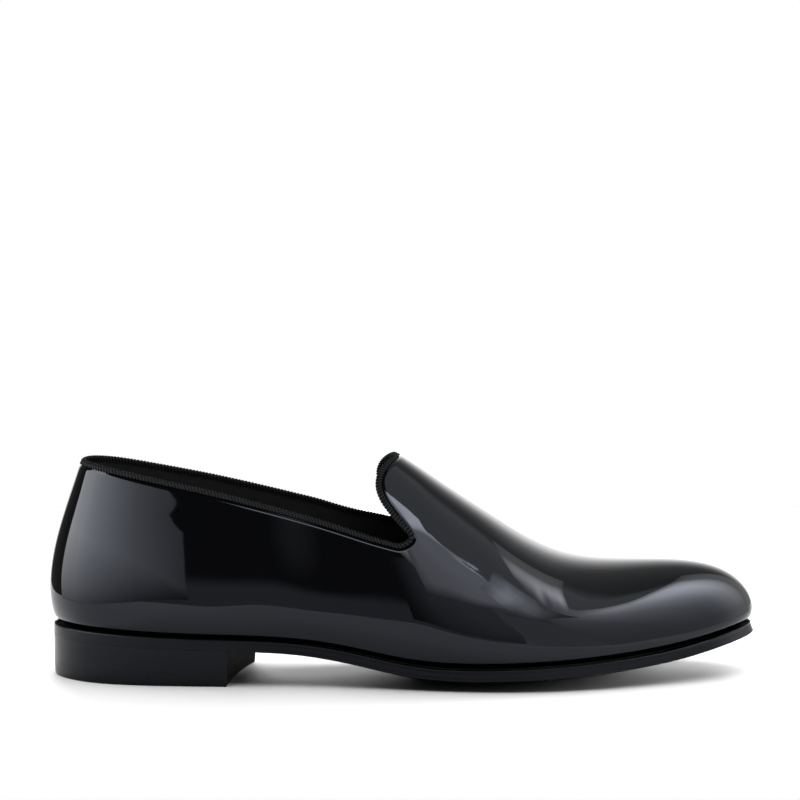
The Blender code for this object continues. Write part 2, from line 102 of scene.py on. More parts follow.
# Where the upper meets the sole, seen from above: a percent of length, distances from the axis in percent
# of the ball width, and how far the wall stands out above that line in millimetres
FEATHER = table(
    ("along", "outer", "inner", "outer_bulge", "inner_bulge"),
    (2.6, 12.8, 17.4, 4.7, 4.6),
    (6.5, 24.3, 26.6, 3.9, 3.8),
    (13.0, 31.4, 29.5, 3.4, 3.2),
    (20.0, 34.0, 28.0, 3.4, 3.4),
    (27.0, 35.3, 25.2, 3.6, 4.2),
    (37.0, 37.0, 23.2, 4.2, 5.4),
    (47.0, 41.6, 27.8, 4.8, 5.4),
    (55.0, 46.0, 35.0, 5.0, 4.6),
    (63.0, 48.4, 42.3, 4.6, 4.0),
    (68.0, 47.8, 45.2, 4.2, 3.8),
    (73.0, 45.2, 46.2, 3.8, 3.4),
    (80.0, 38.0, 44.0, 3.2, 3.0),
    (87.0, 28.4, 38.6, 2.6, 2.6),
    (92.0, 20.4, 32.4, 2.3, 2.3),
    (96.2, 11.2, 24.0, 2.4, 2.3),
)
HEEL_TIP = table(("along", "inner", "bulge"), (0.8, 3.0, 5.2))
TOE_TIP = table(("along", "inner", "bulge"), (99.3, 6.5, 2.7))

# Top of the last along its ridge. Heights are percents of the instep height, the fullness swells the arch
# beside the ridge, and the crest is how far the ridge lies towards the inner side.
RIDGE = table(
    ("along", "height", "fullness", "crest"),
    (30.0, 126.0, 0.30, 0.00),
    (40.0, 114.5, 0.26, 0.00),
    (46.0, 105.8, 0.22, 0.02),
    (48.7, 100.9, 0.21, 0.03),
    (52.0, 94.3, 0.20, 0.04),
    (55.3, 86.9, 0.20, 0.06),
    (58.7, 79.5, 0.20, 0.08),
    (62.3, 72.0, 0.20, 0.10),
    (65.7, 65.0, 0.19, 0.12),
    (69.0, 59.1, 0.18, 0.13),
    (72.3, 54.5, 0.17, 0.14),
    (76.7, 51.3, 0.15, 0.14),
    (81.7, 50.4, 0.13, 0.13),
    (86.0, 50.5, 0.12, 0.11),
    (93.0, 50.8, 0.12, 0.07),
    (99.0, 53.0, 0.12, 0.04),
)

# The collar along one side, from the back of the heel. Half widths are from the middle of the last, the
# lift is how much higher the inner side is, and the foot is where its line starts on the feather line, in
# percent of length.
QUARTER_COLLAR = table(
    ("along", "outer", "inner", "height", "lift", "foot"),
    (4.2, 0.0, 0.0, 92.0, 0.0, 0.0),
    (5.1, 11.0, 11.0, 91.8, 0.2, 2.6),
    (8.0, 19.0, 19.0, 90.4, 0.6, 6.6),
    (14.0, 23.6, 22.6, 86.9, 1.2, 14.0),
    (21.7, 24.8, 23.0, 82.2, 1.8, 22.0),
    (30.0, 26.0, 24.2, 76.4, 2.2, 30.4),
)
# The rest of it as seen from the side, round the notch and up to the middle of the throat
THROAT_COLLAR = table(
    ("along", "height", "lift", "foot"),
    (38.3, 69.8, 2.4, 38.8),
    (45.2, 63.8, 2.6, 45.8),
    (48.6, 61.2, 2.8, 49.8),
    (50.2, 61.2, 2.6, 52.5),
    (51.1, 63.6, 2.2, 56.0),
    (50.3, 66.6, 1.6, 62.0),
    (49.1, 69.6, 1.0, 69.5),
    (47.7, 74.2, 0.5, 76.0),
    (46.6, 79.4, 0.2, 81.5),
    (46.2, 83.8, 0.0, 86.0),
    (46.4, 88.0, 0.0, 90.0),
    (47.2, 91.8, 0.0, 93.8),
    (48.2, 94.3, 0.0, 97.0),
    (48.8, 95.2, 0.0, 100.0),
)

# The sole: height of its lower edge, how far its middle hangs below its edges, and how far it reaches past
# the foot of the upper, in millimetres
SOLE_FORM = table(
    ("along", "rise", "sag", "margin"),
    (0.0, 17.3, 0.8, 2.2),
    (8.0, 16.6, 0.9, 1.7),
    (15.0, 15.8, 1.0, 1.4),
    (22.0, 15.2, 1.3, 1.3),
    (29.0, 14.7, 2.0, 1.4),
    (36.0, 13.4, 3.0, 1.6),
    (43.0, 10.3, 3.8, 2.0),
    (50.0, 6.3, 4.6, 2.4),
    (55.0, 4.8, 5.2, 2.7),
    (62.0, 4.6, 5.4, 2.8),
    (70.0, 5.4, 5.8, 2.8),
    (78.0, 6.9, 5.6, 2.7),
    (85.0, 8.8, 4.2, 2.6),
    (91.0, 11.6, 2.8, 2.6),
    (96.0, 14.9, 1.6, 2.6),
    (100.0, 17.4, 0.8, 2.6),
)

# The finished edge of the sole, from its top: how far it is drawn in, how deep its groove is, and the share
# of its thickness below the top
SOLE_EDGE = table(
    ("inset", "groove", "down"),
    (0.46, 0.00, 0.004),
    (0.24, 0.00, 0.020),
    (0.10, 0.02, 0.050),
    (0.04, 0.04, 0.090),
    (0.02, 0.08, 0.130),
    (0.02, 0.22, 0.160),
    (0.02, 0.32, 0.190),
    (0.02, 0.30, 0.220),
    (0.02, 0.22, 0.270),
    (0.01, 0.20, 0.350),
    (0.00, 0.20, 0.500),
    (0.00, 0.15, 0.660),
    (0.00, 0.06, 0.800),
    (0.00, 0.00, 0.890),
    (0.00, 0.03, 0.930),
    (0.00, 0.16, 0.970),
    (0.02, 0.36, 0.995),
)

# Sides of the heel's lifts and of the foot bed, from the top: how far they are drawn in, and the share of
# the height below the top
STACK_EDGE = table(("inset", "down"), (0.00, 0.01), (0.02, 0.30), (0.05, 0.70), (0.07, 0.995))
TOP_PIECE_EDGE = table(
    ("inset", "down"),
    (0.07, 0.01),
    (0.12, 0.40),
    (0.28, 0.75),
    (0.40, 0.90),
    (0.60, 0.97),
    (0.90, 0.995),
)
SOCK_EDGE = table(("inset", "down"), (0.05, 0.15), (0.0, 0.5), (0.1, 0.9))


# Curves and grids


def spline(knots: Array, values: Array, at: Array) -> Array:
    """Draws the natural cubic through knots: its second slope is 0 at both ends and continuous between.

    Args:
        knots: Increasing places.
        values: A value, or a row of them, at each knot.
        at: The places wanted.

    Returns:
        The values there, with one more axis for the row.
    """
    count, gaps = len(knots), np.diff(knots)
    values = np.asarray(values, float).reshape(count, -1)
    inside = np.arange(1, count - 1)
    system = np.zeros((count, count))
    system[0, 0] = system[-1, -1] = 1.0
    system[inside, inside - 1] = gaps[:-1]
    system[inside, inside] = 2.0 * (gaps[:-1] + gaps[1:])
    system[inside, inside + 1] = gaps[1:]
    turns = np.zeros_like(values)
    turns[1:-1] = 6.0 * np.diff(np.diff(values, axis=0) / gaps[:, None], axis=0)
    bends = np.linalg.solve(system, turns)
    at = np.asarray(at, float)
    left = np.clip(np.searchsorted(knots, at) - 1, 0, count - 2)
    span = gaps[left][..., None]
    near = (np.asarray(knots)[left + 1] - at)[..., None] / span
    far = 1.0 - near
    cubic = (near**3 - near) * bends[left] + (far**3 - far) * bends[left + 1]
    return near * values[left] + far * values[left + 1] + cubic * span**2 / 6.0


def closed_spline(knots: Array, values: Array, period: float, at: Array, shift: float = 0.0) -> Array:
    """Draws the same cubic round a loop, with a few knots repeated past each end.

    Args:
        knots: Places within one turn.
        values: A value, or a row of them, at each knot.
        period: Length of one turn.
        at: The places wanted.
        shift: What each full turn adds to the values.

    Returns:
        The values there, with one more axis for the row.
    """
    wrap = 6
    knots, values = np.asarray(knots, float), np.asarray(values, float).reshape(len(knots), -1)
    more_knots = np.concatenate([knots[-wrap:] - period, knots, knots[:wrap] + period])
    more_values = np.concatenate([values[-wrap:] - shift, values, values[:wrap] + shift])
    return spline(more_knots, more_values, at)


def on_loop(dense: Array, place: Array) -> Array:
    """Reads a dense loop, straight between its points.

    Args:
        dense: The loop's points, evenly numbered.
        place: Places from 0 to 1.

    Returns:
        The values there.
    """
    place = np.mod(place, 1.0) * len(dense)
    low = np.floor(place).astype(int)
    share = (place - low)[..., None]
    return dense[low % len(dense)] * (1.0 - share) + dense[(low + 1) % len(dense)] * share


def percent(value: Array | float, whole: float) -> Array:
    """Turns percents of a whole into lengths."""
    return np.asarray(value) * whole / 100.0


def smooth_step(value: Array, low: float, high: float) -> Array:
    """Rises from 0 at low to 1 at high, as 3t² − 2t³."""
    share = np.clip((value - low) / (high - low), 0.0, 1.0)
    return share * share * (3.0 - 2.0 * share)


def along_lines(points: Array, lengths: Array, wanted: Array) -> Array:
    """Reads each line of points at the places wanted along it.

    Args:
        points: Lines of points.
        lengths: Each point's place along its own line, increasing.
        wanted: The places to read, the same on every line.

    Returns:
        Lines of the points found.
    """
    apart = 2.0 * max(lengths.max(), np.max(wanted)) + 1.0
    order = apart * np.arange(len(points))[:, None]
    places = (np.asarray(wanted)[None] + order).ravel()
    found = [np.interp(places, (lengths + order).ravel(), points[..., axis].ravel()) for axis in range(3)]
    return np.stack(found, 1).reshape(len(points), -1, 3)


def line_lengths(points: Array) -> Array:
    """Distance of each point from the start of its line."""
    steps = np.linalg.norm(np.diff(points, axis=1), axis=2)
    return np.concatenate([np.zeros((len(points), 1)), np.cumsum(steps, 1)], 1)


def unit(vectors: Array) -> Array:
    """Vectors of the same directions with length 1."""
    return vectors / np.linalg.norm(vectors, axis=-1, keepdims=True)


def face_normals(grid: Array) -> Array:
    """Outward directions on a grid that closes round the shoe, as cross products of its two slopes."""
    round_shoe = np.roll(grid, -1, 0) - np.roll(grid, 1, 0)
    return unit(np.cross(round_shoe, np.gradient(grid, axis=1)))


def below_rim(grid: Array, depths: Array) -> Array:
    """Points of a grid at depths below its last row, measured along its lines."""
    flipped = grid[:, ::-1]
    return along_lines(flipped, line_lengths(flipped), depths)


def even_round(values: Array, rim: Array, count: int) -> Array:
    """Reads rows that go with a closed rim at places evenly spaced along it.

    Args:
        values: One row for each point of the rim.
        rim: The closed rim's points.
        count: How many rows are wanted.

    Returns:
        The rows there, straight between the given ones.
    """
    steps = np.linalg.norm(np.roll(rim, -1, 0) - rim, axis=1)
    places = np.concatenate([[0.0], np.cumsum(steps)])
    closed = np.concatenate([values, values[:1]])
    at = np.arange(count) / count * places[-1]
    low = np.searchsorted(places, at, side="right") - 1
    share = (at - places[low]) / steps[low]
    share = share.reshape(-1, *[1] * (values.ndim - 1))
    return closed[low] * (1.0 - share) + closed[low + 1] * share


def loop_places(nodes: Array) -> Array:
    """Each node's share of the way round a closed line."""
    lengths = np.linalg.norm(np.roll(nodes, -1, 0) - nodes, axis=1)
    return np.concatenate([[0.0], np.cumsum(lengths)[:-1]]) / lengths.sum()


def rows_between(outer: Array, inner: Array, count: int) -> Array:
    """Straight rows of points from each point of one side to its fellow on the other."""
    share = np.linspace(0.0, 1.0, count)[None, :, None]
    return outer[:, None, :] * (1.0 - share) + inner[:, None, :] * share


def tube_faces(loops: int, size: int, closed: bool) -> Array:
    """Quads of a skin through loops of the same size.

    Args:
        loops: How many loops there are.
        size: How many points each has.
        closed: Whether the last loop joins the first.

    Returns:
        The quads' point numbers, one row each.
    """
    index = np.arange(loops * size).reshape(loops, size)
    first = index if closed else index[:-1]
    second = np.roll(index, -1, 0)[: len(first)]
    quads = [first, np.roll(first, -1, 1), np.roll(second, -1, 1), second]
    return np.stack(quads, -1).reshape(-1, 4)


# The last, which all pieces are shaped on


@dataclass
class Last:
    """The form that the shoe is made on, with the lines that its pieces share.

    Attributes:
        length: Outsole, heel to toe.
        ball_width: Outsole, across the ball.
        instep_height: Top of the throat above the floor.
        sole: Thickness of the outsole.
        fit: Clear gap between the sole and the upper.
        bulge_low: Under 1, the widest part of a wall lies low.
        wall_lean: Over 1, a wall leans in mostly near the collar.
        toe_round_start: Percent of length where the toe starts to close.
        toe_round_power: Higher for a blunter toe.
        quarter_end: Percent of length where the side walls start to turn into the arched vamp.
        vamp_start: Percent of length where they have.
        leave: How long a vamp line keeps square to its foot, as a share of its reach.
        arrive: How long it keeps square to the collar, as a share of its reach.
        tuck: How far the upper turns in at its foot.
        tuck_height: How high that turn reaches.
        dense: Places round the feather line and round the collar.
        steps: Places along a line of the upper.
    """

    length: float = 300.0
    ball_width: float = 100.0
    instep_height: float = 95.0
    sole: float = 4.7
    fit: float = 0.3
    bulge_low: float = 0.65
    wall_lean: float = 1.5
    toe_round_start: float = 85.0
    toe_round_power: float = 3.4
    quarter_end: float = 35.0
    vamp_start: float = 55.0
    leave: float = 0.12
    arrive: float = 0.18
    tuck: float = 1.2
    tuck_height: float = 1.8
    dense: int = 11520
    steps: int = 960
    feather: Array = field(init=False, repr=False)
    shift: Array = field(init=False, repr=False)

    def __post_init__(self) -> None:
        """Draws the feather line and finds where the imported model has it."""
        along = percent(FEATHER["along"], self.length)
        sides = []
        for side in Side:
            name = side.name.lower()
            reach = side.value * percent(FEATHER[name], self.ball_width)
            sides.append(np.stack([along, reach, FEATHER[f"{name}_bulge"]], 1))
        tips = []
        for tip in (HEEL_TIP, TOE_TIP):
            place = percent(tip["along"], self.length), percent(tip["inner"], self.ball_width)
            tips.append(np.stack([*place, tip["bulge"]], 1))
        nodes = np.vstack([tips[0], sides[0], tips[1], sides[1][::-1]])
        places = loop_places(nodes[:, :2])
        dense = closed_spline(places, nodes, 1.0, np.arange(self.dense) / self.dense)
        dense = np.roll(dense, -int(dense[:, 0].argmin()), axis=0)
        tangent = unit(np.roll(dense, -1, 0)[:, :2] - np.roll(dense, 1, 0)[:, :2])
        self.feather = np.hstack([dense, tangent[:, 1:], -tangent[:, :1]])
        self.shift = self.packed_place()

    @property
    def toe(self) -> int:
        """Number of the feather line's foremost point."""
        return int(self.feather[:, 0].argmax())

    @property
    def tip(self) -> float:
        """Where the feather line ends in front."""
        return float(self.feather[self.toe, 0])

    @property
    def back(self) -> float:
        """Where the feather line ends behind."""
        return float(self.feather[0, 0])

    def packed_place(self) -> Array:
        """Compares the middle of the outsole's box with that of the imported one.

        Returns:
            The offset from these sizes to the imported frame.
        """
        plan, out = self.feather[:, :2], self.feather[:, 3:]
        outline = plan + out * self.sole_form(plan[:, 0], "margin")[:, None]
        middle = (outline.min(axis=0) + outline.max(axis=0)) / 2.0
        low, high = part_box("outsole")
        packed = np.array((low + high) / 2.0)[:2] / MM
        return np.append(packed - middle, 0.0)

    def foot_place(self, x: Array, side: Side) -> Array:
        """Finds points of one side on the feather line.

        Args:
            x: Places along the shoe.
            side: The side.

        Returns:
            Places on the feather line, from 0 to 1.
        """
        rows = np.arange(self.toe + 1)
        if side is Side.INNER:
            rows = np.arange(self.toe, self.dense + 1)[::-1]
        return np.interp(x, self.feather[rows % self.dense, 0], rows / self.dense)

    def foot_at(self, place: Array) -> tuple[Array, Array, Array]:
        """Plan point, bulge and outward direction at places on the feather line."""
        found = on_loop(self.feather, place)
        return found[..., :2], found[..., 2], found[..., 3:]

    def across(self, x: Array) -> tuple[Array, Array]:
        """Measures across the feather line.

        Args:
            x: Places along the shoe.

        Returns:
            The middle and the half width of the last there.
        """
        outer, inner = (self.foot_at(self.foot_place(x, side))[0][..., 1] for side in Side)
        return (inner + outer) / 2.0, np.maximum((inner - outer) / 2.0, TINY)

    def sole_form(self, x: Array, name: str) -> Array:
        """A column of the sole's table at x."""
        along = percent(SOLE_FORM["along"], self.length)
        return spline(along, SOLE_FORM[name], np.clip(x, 0.0, self.length))[..., 0]

    def sole_under(self, x: Array, q: Array | float) -> Array:
        """Height of the sole's underside before it is worn flat: its edge less a parabola of the sag.

        Args:
            x: Places along the shoe.
            q: Places across it, from -1 to 1.

        Returns:
            The heights.
        """
        return self.sole_form(x, "rise") - self.sole_form(x, "sag") * (1.0 - np.square(q))

    def sole_over(self, x: Array, q: Array | float) -> Array:
        """Height of the sole's top."""
        return self.sole_under(x, q) + self.sole

    def upper_foot(self, x: Array) -> Array:
        """Height at which the upper starts."""
        return self.sole_form(x, "rise") + self.sole + self.fit

    def ridge(self, x: Array, name: str) -> Array:
        """A column of the ridge's table at x."""
        along = percent(RIDGE["along"], self.length)
        return spline(along, RIDGE[name], np.clip(x, along[0], along[-1]))[..., 0]

    def arched_vamp(self, x: Array, y: Array) -> tuple[Array, Array]:
        """Height of the arched front of the last over a plan point.

        The arch is √(1 − q²)(1 + fullness·q²) across the shoe, with q drawn to the crest, and it closes at
        the toe as √(1 − t^power).

        Args:
            x: Places along the shoe.
            y: Places across it.

        Returns:
            The heights, and the same as shares of the ridge's height.
        """
        middle, half = self.across(x)
        q = np.clip((y - middle) / half, -1.0, 1.0)
        q = q - self.ridge(x, "crest") * (1.0 - q * q)
        arch = np.sqrt(np.clip(1.0 - q * q, 0.0, 1.0)) * (1.0 + self.ridge(x, "fullness") * q * q)
        start = percent(self.toe_round_start, self.length)
        closing = np.clip((x - start) / (self.tip - start), 0.0, 1.0)
        share = arch * np.sqrt(1.0 - closing**self.toe_round_power)
        foot = self.upper_foot(x)
        full = percent(self.ridge(x, "height"), self.instep_height) - foot
        return foot + full * share, share

    def swell(self, share: Array) -> Array:
        """How a wall stands out, as sin(π·share^low): 0 at its foot, 1 at its widest and 0 at its top."""
        return np.sin(np.pi * np.clip(share, 0.0, 1.0) ** self.bulge_low)

    def vamp_side(self, x: Array, height: Array, side: Side) -> Array:
        """Finds where the arched vamp has given heights on one side.

        Args:
            x: Places along the shoe.
            height: A height for each of them.
            side: The side.

        Returns:
            The places across the shoe.
        """
        middle, half = self.across(x)
        q = np.linspace(1.0, 0.0, self.steps + 1)
        y = middle[:, None] + side.value * half[:, None] * q
        heights, _ = self.arched_vamp(np.broadcast_to(x[:, None], y.shape), y)
        return np.array([np.interp(want, rise, place) for want, rise, place in zip(height, heights, y)])

    def collar(self) -> tuple[Array, Array, Array]:
        """Draws the collar as a smooth loop.

        Returns:
            The dense loop, its nodes' places on it, and their feet's places on the feather line.
        """
        names = ("along", "height", "lift", "foot")
        columns = (np.concatenate([QUARTER_COLLAR[name], THROAT_COLLAR[name]]) for name in names)
        x, height, lift, foot = columns
        x, foot = percent(x, self.length), percent(foot, self.length)
        middle, _ = self.across(x)
        behind = len(QUARTER_COLLAR["along"])
        sides = []
        for side, name, level in ((Side.OUTER, "outer", height), (Side.INNER, "inner", height + lift)):
            wall = middle[:behind] + side.value * QUARTER_COLLAR[name]
            vamp = self.vamp_side(x[behind:], level[behind:], side)
            sides.append(np.stack([x, np.concatenate([wall, vamp]), level], 1))
        nodes = np.vstack([sides[0], sides[1][-2:0:-1]])
        places = loop_places(nodes)
        dense = closed_spline(places, nodes, 1.0, np.arange(self.dense) / self.dense)
        feet = [self.foot_place(foot, Side.OUTER), self.foot_place(foot[-2:0:-1], Side.INNER)]
        feet = np.concatenate(feet)
        feet[len(x) - 1] = self.toe / self.dense
        return dense, places, feet

    def away_from_opening(self, collar: Array) -> Array:
        """Finds the way off the collar: square to it on the arched vamp.

        Args:
            collar: Points of the collar.

        Returns:
            The directions, seen from above.
        """
        along = np.roll(collar, -1, 0) - np.roll(collar, 1, 0)
        slopes = []
        for step in np.eye(2) * self.fit:
            ahead, _ = self.arched_vamp(*(collar[:, :2] + step).T)
            behind, _ = self.arched_vamp(*(collar[:, :2] - step).T)
            slopes.append((behind - ahead) / (2.0 * self.fit))
        away = unit(np.cross(along, np.column_stack([*slopes, np.ones(len(collar))])))
        return away[:, :2]

    def outer_face(self, lines_per_node: int, shares: Array) -> Array:
        """Outer face of the upper, as lines from the feather line to the collar.

        A line on the quarters rises evenly while its plan runs from foot to collar as share^lean. A line
        on the vamp is a cubic in plan laid on the arched form. Both stand out along the feather line's
        normal by the bulge, and the two are mixed where the quarters turn into the vamp.

        Args:
            lines_per_node: Lines for each node of the collar's table.
            shares: Places on a line, as shares of its own length.

        Returns:
            The lines' points, in order round the shoe.
        """
        dense, places, feet = self.collar()
        index = np.arange(len(places) * lines_per_node) / lines_per_node
        nodes, count = np.arange(len(places)), len(places)
        collar = on_loop(dense, closed_spline(nodes, places, count, index, 1.0)[:, 0])
        foot, bulge, out = self.foot_at(closed_spline(nodes, feet, count, index, 1.0)[:, 0])
        start = self.upper_foot(foot[:, 0])
        ends = percent((self.quarter_end, self.vamp_start), self.length)
        arched = smooth_step(foot[:, 0], *ends)
        vamp_top, _ = self.arched_vamp(collar[:, 0], collar[:, 1])
        top = collar[:, 2] * (1.0 - arched) + vamp_top * arched
        step = np.linspace(0.0, 1.0, self.steps + 1)

        def standing_out(plan: Array, share: Array, height: Array) -> Array:
            """Moves lines out by the bulge, and in by the tuck at their foot.

            Args:
                plan: The lines, seen from above.
                share: How far up its line each point is, from 0 to 1.
                height: Its height.

            Returns:
                The moved lines.
            """
            tuck = self.tuck * np.exp(-np.square((height - start[:, None]) / self.tuck_height))
            amount = bulge[:, None] * self.swell(share) - tuck
            return np.dstack([plan + out[:, None, :] * amount[..., None], height])

        reach = (collar[:, :2] - foot)[:, None, :]
        share = np.broadcast_to(step, (len(index), len(step)))
        rise = start[:, None] + (top - start)[:, None] * share
        side = standing_out(foot[:, None, :] + reach * share[..., None] ** self.wall_lean, share, rise)
        span = np.linalg.norm(reach[:, 0], axis=1)[:, None]
        leave = foot - out * span * self.leave
        arrive = collar[:, :2] + self.away_from_opening(collar) * span * self.arrive
        t = np.square(step)
        weights = ((1.0 - t) ** 3, 3.0 * t * (1.0 - t) ** 2, 3.0 * t**2 * (1.0 - t), t**3)
        corners = (foot, leave, arrive, collar[:, :2])
        plan = sum(corner[:, None, :] * weight[:, None] for corner, weight in zip(corners, weights))
        height, risen = self.arched_vamp(plan[..., 0], plan[..., 1])
        vamp = standing_out(plan, risen, height)
        mixed = []
        for lines in (side, vamp):
            lengths = line_lengths(lines)
            mixed.append(along_lines(lines, lengths / lengths[:, -1:], shares))
        weight = arched[:, None, None]
        return mixed[0] * (1.0 - weight) + mixed[1] * weight

    def ladder(self, x: Array, offset: Array | float, across: int) -> Array:
        """Lays straight rows across the shoe, from its outer side to its inner.

        Args:
            x: Places of the rows along the shoe.
            offset: How far they reach past the feather line.
            across: Points in a row.

        Returns:
            The rows' plan points.
        """
        sides = []
        for side in Side:
            plan, _, out = self.foot_at(self.foot_place(x, side))
            sides.append(plan + out * np.broadcast_to(offset, x.shape)[:, None])
        return rows_between(*sides, across)


def rows_along(first: float, last: float, count: int) -> Array:
    """Places along the shoe, closer together near both ends, as a half turn seen from the side."""
    turn = np.linspace(0.0, np.pi, count)
    return first + (last - first) * (1.0 - np.cos(turn)) / 2.0


def plate_rim(rows: Array) -> tuple[Array, Array]:
    """Finds the outline of a ladder of rows whose first row is one point, and perhaps its last.

    Args:
        rows: Plan points, row by row.

    Returns:
        The point numbers of the ladder, with those of a tip made one, and the numbers round its outline.
    """
    count, across = rows.shape[:2]
    tips = np.ptp(rows, axis=1).max(axis=1) < TINY
    index = np.arange(count * across).reshape(count, across)
    index[tips] = index[tips][:, :1]
    front = index[-2:-1, -1] if tips[-1] else index[-1, 1:]
    rest = index[-3:0:-1, -1] if tips[-1] else index[-2:0:-1, -1]
    return index, np.concatenate([index[:, 0], front, rest])


def plate(rows: Array, low: Array, high: Array, rings: list[Array], foot: Array | None = None) -> Mesh:
    """Closes a plate between an upper and a lower sheet, with a side drawn through rings.

    Args:
        rows: Plan points, row by row.
        low: Heights of the lower sheet.
        high: Heights of the upper sheet.
        rings: Outlines of the side between the two, from the top down.
        foot: Plan points of the lower sheet, where they differ.

    Returns:
        The plate's points and faces.
    """
    index, rim = plate_rim(rows)
    size = rows.shape[0] * rows.shape[1]
    under = rows if foot is None else foot
    points = [np.dstack([rows, high]).reshape(-1, 3), np.dstack([under, low]).reshape(-1, 3), *rings]
    corners = [index[:-1, :-1], index[1:, :-1], index[1:, 1:], index[:-1, 1:]]
    quads = np.stack(corners, -1).reshape(-1, 4)
    starts = 2 * size + len(rim) * np.arange(len(rings))
    loops = [rim, *(np.arange(len(rim)) + start for start in starts), rim + size]
    sides = [np.stack([u, np.roll(u, -1), np.roll(o, -1), o], 1) for o, u in zip(loops[:-1], loops[1:])]
    faces = np.concatenate([quads, quads[:, ::-1] + size, *sides])
    return np.vstack(points), [list(dict.fromkeys(face)) for face in faces.tolist()]


# Finishes


MOTTLE_DETAIL = 4.0


@dataclass(frozen=True)
class Grain:
    """A texture that is embossed into a finish.

    Attributes:
        size: Width of one grain in millimetres.
        depth: Depth in millimetres.
        kind: The texture's kind.
        stretch: How many times longer a grain is along X, Y and Z.
        detail: How much finer structure each grain holds.
    """

    size: float
    depth: float
    kind: GrainKind = GrainKind.CLOUDS
    stretch: tuple[float, float, float] = (1.0, 1.0, 1.0)
    detail: float = 2.0


@dataclass(frozen=True)
class Finish:
    """A surface: its colour and gloss, how both vary, and what is embossed into it.

    Attributes:
        name: The material's name.
        dark: The darker colour.
        light: The lighter colour that mottles it.
        roughness: Lowest and highest roughness.
        mottle: Width of the mottling in millimetres.
        specular: Strength of the plain reflection.
        ior: Index of refraction.
        tint: Tint of the plain reflection.
        grains: What is embossed.
        raised: Name of the mesh attribute, from 0 to 1, that mixes the colours in place of the mottling, so
            that the lighter colour is a painted highlight where it is high and the darker one is painted
            shade where it is low.
    """

    name: str
    dark: Colour
    light: Colour
    roughness: Span
    mottle: float
    specular: float = 0.5
    ior: float = 1.5
    tint: Colour = (1.0, 1.0, 1.0)
    grains: tuple[Grain, ...] = ()
    raised: str | None = None

    def texture(self, tree: Nodes, grain: Grain) -> Socket:
        """Adds one texture on the piece's own coordinates.

        Args:
            tree: The material's nodes.
            grain: What the texture is like.

        Returns:
            The socket with its height from 0 to 1.
        """
        place = tree.nodes.new("ShaderNodeTexCoord")
        scale = tree.nodes.new("ShaderNodeMapping")
        scale.inputs["Scale"].default_value = [1.0 / (grain.size * MM * long) for long in grain.stretch]
        made = tree.nodes.new(grain.kind.value)
        made.inputs["Scale"].default_value = 1.0
        made.inputs["Detail"].default_value = grain.detail
        tree.links.new(place.outputs["Object"], scale.inputs["Vector"])
        tree.links.new(scale.outputs["Vector"], made.inputs["Vector"])
        return made.outputs["Distance" if grain.kind is GrainKind.CELLS else "Fac"]

    def material(self) -> bpy.types.Material:
        """Makes the material, once for each name.

        Returns:
            The material.
        """
        if self.name in bpy.data.materials:
            return bpy.data.materials[self.name]
        made = bpy.data.materials.new(self.name)
        made.use_nodes = True
        tree = made.node_tree
        shader = tree.nodes["Principled BSDF"]
        shader.inputs["Metallic"].default_value = 0.0
        shader.inputs["Specular IOR Level"].default_value = self.specular
        shader.inputs["Specular Tint"].default_value = (*self.tint, 1.0)
        shader.inputs["IOR"].default_value = self.ior
        patches = self.texture(tree, Grain(self.mottle, 0.0, detail=MOTTLE_DETAIL))
        colours = tree.nodes.new("ShaderNodeMix")
        colours.data_type = "RGBA"
        colours.inputs["A"].default_value = (*self.dark, 1.0)
        colours.inputs["B"].default_value = (*self.light, 1.0)
        mixed = patches
        if self.raised is not None:
            heights = tree.nodes.new("ShaderNodeAttribute")
            heights.attribute_name = self.raised
            mixed = heights.outputs["Fac"]
        tree.links.new(mixed, colours.inputs["Factor"])
        tree.links.new(colours.outputs["Result"], shader.inputs["Base Color"])
        gloss = tree.nodes.new("ShaderNodeMapRange")
        gloss.inputs["To Min"].default_value, gloss.inputs["To Max"].default_value = self.roughness
        tree.links.new(patches, gloss.inputs["Value"])
        tree.links.new(gloss.outputs["Result"], shader.inputs["Roughness"])
        normal = None
        for grain in self.grains:
            bump = tree.nodes.new("ShaderNodeBump")
            bump.inputs["Distance"].default_value = grain.depth * MM
            tree.links.new(self.texture(tree, grain), bump.inputs["Height"])
            if normal is not None:
                tree.links.new(normal, bump.inputs["Normal"])
            normal = bump.outputs["Normal"]
        if normal is not None:
            tree.links.new(normal, shader.inputs["Normal"])
        return made


# What several finishes share: a cool tint of their reflections that paints in the bluish colour of the
# studio's light, a black stain, and fine marks drawn round the heel
COOL_LIGHT_TINT = (0.80, 0.85, 1.0)
STAIN = (0.0012, 0.0012, 0.0014)
DRAWN = (Grain(0.35, 0.002, stretch=(60.0, 60.0, 1.0)), Grain(4.0, 0.004))

PATENT = Finish(
    "black_patent", (0.0007, 0.0007, 0.0008), (0.0012, 0.0012, 0.0014), (0.022, 0.036),
    mottle=30.0, ior=1.374, tint=COOL_LIGHT_TINT, grains=(Grain(7.0, 0.006), Grain(1.4, 0.0008)),
)
LINING = Finish(
    "black_lining", (0.004, 0.004, 0.004), (0.009, 0.0085, 0.0085), (0.50, 0.68),
    mottle=5.0, specular=0.25, grains=(Grain(0.9, 0.06, GrainKind.CELLS, detail=1.0), Grain(4.0, 0.05)),
)
SOCK = Finish(
    "sock_leather", (0.006, 0.0055, 0.0055), (0.012, 0.011, 0.011), (0.42, 0.58),
    mottle=12.0, specular=0.35, grains=(Grain(1.1, 0.07, GrainKind.CELLS, detail=1.0), Grain(6.0, 0.05)),
)
